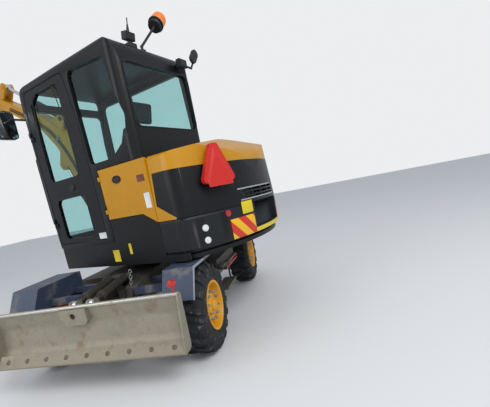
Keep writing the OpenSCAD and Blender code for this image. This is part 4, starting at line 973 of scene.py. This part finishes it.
def blow_up(piece, held):
    """Lets pressure swell a piece as cloth, up to the largest swell, and keeps the held points in place."""
    before = [vertex.co.copy() for vertex in piece.data.vertices]
    cloth = piece.modifiers.new("Stuffing", "CLOTH")
    cloth.settings.use_pressure = True
    cloth.settings.uniform_pressure_force = CLOTH_PRESSURE
    cloth.settings.vertex_group_mass = held
    cloth.settings.effector_weights.gravity = 0.0
    scene = bpy.context.scene
    for frame in range(1, CLOTH_FRAMES + 1):
        scene.frame_set(frame)
    bpy.ops.object.modifier_apply(modifier=cloth.name)
    for vertex, place in zip(piece.data.vertices, before):
        swell = vertex.co - place
        if swell.length > LARGEST_SWELL:
            vertex.co = place + swell.normalized() * LARGEST_SWELL
    scene.frame_set(1)


def model_bellows():
    """The sprung foot of the seat: a plinth with a folded rubber bellows round it."""
    folds, fold, narrow = 7, 0.020, (0.92, 0.95)
    foot = started("cube", "seat_bellows", (FOOT_X, SEAT_Y, 1.19), (0.31, 0.50, 0.07))
    with editing(foot):
        about = (FOOT_X, SEAT_Y, 1.2)
        for _ in range(folds):
            choose(foot, facing(2))
            extrude((0, 0, fold), (*narrow, 1), about)
            extrude((0, 0, fold), (1 / narrow[0], 1 / narrow[1], 1), about)
        choose(foot, facing(2))
        inset(0.02)
        extrude((0, 0, 0.06))
    return softened(foot, 0.003)


def model_armrests():
    """The two armrest pods, shaped from plates, each with a lever's boot on top."""
    half, boot_x, boot_z = 0.040, 0.150, 1.857
    pods = []
    for i, side in enumerate((-1, 1)):
        y = SEAT_Y + side * 0.26
        pod = plate(f"armrest_{i}", ARMREST, y - half, y + half)
        for face in (1, -1):
            stepped(pod, 1, face, (0.012, 0.0), (0.004, -0.003))
        boot = started("cone", f"armrest_boot_{i}", (boot_x, y, boot_z),
                       vertices=24, radius1=0.036, radius2=0.016, depth=0.040)
        with editing(boot, 2):
            for wider in (1.3, 0.7):
                extrude((0, 0, 0.006), (wider, wider, 1), (boot_x, y, boot_z + 0.023))
        pods += [softened(pod, 0.004), softened(boot, 0.001)]
    return joined(pods, "seat_armrests")


# Lines and pins of the boom, and the drive shaft of the chassis

LINE_Y = 0.1185
LINE_ROUTE = (  # along and above the boom's line
    (0.35, 0.16), (0.70, 0.32), (1.33, 0.48), (1.85, 0.41), (2.55, 0.16),
)
LINE_GAP = 0.034
BOOM_PINS = ((0.0, 0.215), (2.9, 0.150))  # along the boom's line, and half of the width that the pin crosses
SHAFT_REAR, SHAFT_FRONT, SHAFT_Z = -0.84, 1.02, 0.43


class EXCAVATOR_OT_boom_fittings(bpy.types.Operator):
    """Adds the steel lines with their clamps, the pin caps and the drive shaft"""

    bl_idname = "excavator.boom_fittings"
    bl_label = "Boom and drive line fittings"

    def execute(self, context):
        for name, side in (("left", 1), ("right", -1)):
            settle(model_lines(f"boom_lines_{name}", side), TO_BOOM, "boom", "hose")
            settle(model_clamps(f"boom_clamps_{name}", side), TO_BOOM, "boom", "zinc")
        settle(model_pin_caps(), TO_BOOM, "boom", "zinc")
        settle(model_shaft(), TO_CHASSIS, "chassis", "graphite")
        return {"FINISHED"}


def model_lines(name, side):
    """Two steel lines side by side along the boom."""
    lines = [
        tube(f"{name}_{i}", [(x, side * LINE_Y, z - drop) for x, z in LINE_ROUTE], 0.009)
        for i, drop in enumerate((0.0, LINE_GAP))
    ]
    return joined(lines, name)


def model_clamps(name, side):
    """Clamp plates over the lines, each with a bolt."""
    clamps = []
    for i, (x, z) in enumerate(LINE_ROUTE[1:4]):
        middle = z - LINE_GAP / 2
        clamp = started("cube", f"{name}_{i}", (x, side * (LINE_Y + 0.003), middle), (0.034, 0.024, 0.078))
        bolt = disc(f"{name}_bolt_{i}", (x, side * (LINE_Y + 0.020), middle), 0.008, 0.012, "Y", 6)
        stepped(clamp, 1, side, (0.006, 0.003))
        clamps += [softened(clamp, 0.0015), stepped(bolt, 1, side, (0.002, 0.0015))]
    return joined(clamps, name)


def model_pin_caps():
    """Round caps with a raised and hollowed middle on the ends of the boom's pins."""
    caps = []
    for i, (x, half) in enumerate(BOOM_PINS):
        for j, side in enumerate((1, -1)):
            cap = disc(f"boom_pins_{i}{j}", (x, side * half, 0), 0.030, 0.012, "Y", 28)
            with editing(cap, 1, side):
                inset(0.006)
                extrude((0, side * 0.004, 0))
                inset(0.010, -0.003)
            caps.append(softened(cap, 0.001))
    return joined(caps, "boom_pins")


def model_shaft():
    """The drive shaft between the axles, with a yoke at each end."""
    middle, length = (SHAFT_REAR + SHAFT_FRONT) / 2, SHAFT_FRONT - SHAFT_REAR
    shaft = disc("drive_shaft", (middle, 0, SHAFT_Z), 0.034, length - 0.24, "X", 28)
    with editing(shaft):
        for end in (1, -1):
            about = (middle + end * length / 2, 0, SHAFT_Z)
            choose(shaft, facing(0, end))
            for reach, narrower in (
                (0.01, (1, 0.8, 0.8)), (0.05, None), (0.005, (1, 1.7, 1.7)), (0.03, None),
                (0.003, (1, 0.5, 0.9)), (0.035, None),
            ):
                extrude((end * reach, 0, 0), narrower, about)
    return softened(shaft, 0.002)


# Stage

LIGHTS = (  # name, place, aim and power
    ("key", (6.5, 8.5, 8.5), (0, 1.2, 1.0), 640),
    ("fill", (7.0, -3.0, 4.5), (0, 0.8, 1.0), 180),
)
LIGHT_SIZE, SKY_LIGHT = 5.0, 0.68
# The photograph's camera, as found from points picked in it
YAW, PITCH, ROLL = 192.299, -8.733, -11.14
EYE = SWING + Vector((3.902, 1.901, 1.422))
SENSOR, LENS, SHIFT = 36.0, 24.274, (0.00526, 0.06904)


class EXCAVATOR_OT_stage(bpy.types.Operator):
    """Builds the pale studio floor, the soft lights and the camera"""

    bl_idname = "excavator.stage"
    bl_label = "Build the stage"

    def execute(self, context):
        context.scene.view_settings.view_transform = "Standard"
        make_floor(context.scene.excavator_sizes.floor)
        make_sky()
        make_lights()
        make_camera()
        return {"FINISHED"}


def make_floor(width):
    deselect()
    bpy.ops.mesh.primitive_plane_add(size=width)
    floor = bpy.context.object
    floor.name = "studio_floor"
    material, tree = new_material("studio_floor_paper")
    shader = add(tree, "BsdfPrincipled", {"Base Color": opaque(linear("#dfe0e1")), "Roughness": 0.9})
    add(tree, "OutputMaterial", {}, {"Surface": shader.outputs[0]})
    floor.data.materials.append(material)


def make_sky():
    """A soft sky that lights the object, and a paler one that the camera sees, also through glass."""
    world = bpy.data.worlds.new("studio_sky")
    bpy.context.scene.world = world
    world.use_nodes = True
    tree = world.node_tree
    tree.nodes.clear()
    light = add(tree, "Background", {"Color": opaque(linear("#e8edf4")), "Strength": SKY_LIGHT})
    shown = add(tree, "Background", {"Color": opaque(linear("#eceef0")), "Strength": 1.0})
    path = add(tree, "LightPath").outputs
    seen = add(tree, "Math", {"operation": "MAXIMUM"},
               {0: path["Is Camera Ray"], 1: path["Is Transmission Ray"]})
    mixed = add(tree, "MixShader", {}, {0: seen.outputs[0], 1: light.outputs[0], 2: shown.outputs[0]})
    add(tree, "OutputWorld", {}, {"Surface": mixed.outputs[0]})


def make_lights():
    for name, place, aim, power in LIGHTS:
        lamp = bpy.data.lights.new(name, "AREA")
        lamp.size, lamp.energy = LIGHT_SIZE, power
        holder = bpy.data.objects.new(name, lamp)
        bpy.context.scene.collection.objects.link(holder)
        holder.location = place
        holder.rotation_euler = (Vector(aim) - Vector(place)).to_track_quat("-Z", "Y").to_euler()


def make_camera():
    """The camera of the photograph: a wide lens held close, low and slightly rolled."""
    yaw, pitch, roll = (math.radians(angle) for angle in (YAW, PITCH, ROLL))
    ahead = Vector((math.cos(yaw) * math.cos(pitch), math.sin(yaw) * math.cos(pitch), math.sin(pitch)))
    level = Vector((math.sin(yaw), -math.cos(yaw), 0))
    above = level.cross(ahead)
    right = math.cos(roll) * level + math.sin(roll) * above
    up = math.cos(roll) * above - math.sin(roll) * level
    lens = bpy.data.cameras.new("camera")
    lens.sensor_width, lens.lens = SENSOR, LENS
    lens.shift_x, lens.shift_y = SHIFT
    camera = bpy.data.objects.new("camera", lens)
    bpy.context.scene.collection.objects.link(camera)
    bpy.context.scene.camera = camera
    rows = [[right[i], up[i], -ahead[i], EYE[i]] for i in range(3)]
    camera.matrix_world = Matrix([*rows, [0.0, 0.0, 0.0, 1.0]])


class EXCAVATOR_PT_panel(bpy.types.Panel):
    """Lists the operators that dress the excavator"""

    bl_idname = "EXCAVATOR_PT_panel"
    bl_label = "Compact wheeled excavator"
    bl_space_type = "VIEW_3D"
    bl_region_type = "UI"
    bl_category = "Excavator"

    def draw(self, context):
        for step in STEPS:
            self.layout.operator(step.bl_idname)
        for group in (context.scene.excavator_colours, context.scene.excavator_sizes):
            for name in group.bl_rna.properties.keys():
                if name not in ("rna_type", "name"):
                    self.layout.prop(group, name)


STEPS = (
    EXCAVATOR_OT_finishes, EXCAVATOR_OT_wheel_fittings, EXCAVATOR_OT_blade_fittings,
    EXCAVATOR_OT_tail_fittings, EXCAVATOR_OT_cab_fittings, EXCAVATOR_OT_seat, EXCAVATOR_OT_boom_fittings,
    EXCAVATOR_OT_stage,
)
CLASSES = (EXCAVATOR_PG_colours, EXCAVATOR_PG_sizes, *STEPS, EXCAVATOR_PT_panel)


def register():
    for item in CLASSES:
        bpy.utils.register_class(item)
    bpy.types.Scene.excavator_colours = bpy.props.PointerProperty(type=EXCAVATOR_PG_colours)
    bpy.types.Scene.excavator_sizes = bpy.props.PointerProperty(type=EXCAVATOR_PG_sizes)


def unregister():
    del bpy.types.Scene.excavator_colours
    del bpy.types.Scene.excavator_sizes
    for item in reversed(CLASSES):
        bpy.utils.unregister_class(item)


def main():
    register()
    for step in STEPS:
        group, name = step.bl_idname.split(".")
        getattr(getattr(bpy.ops, group), name)()
    bpy.context.view_layer.update()


if __name__ == "__main__":
    main()
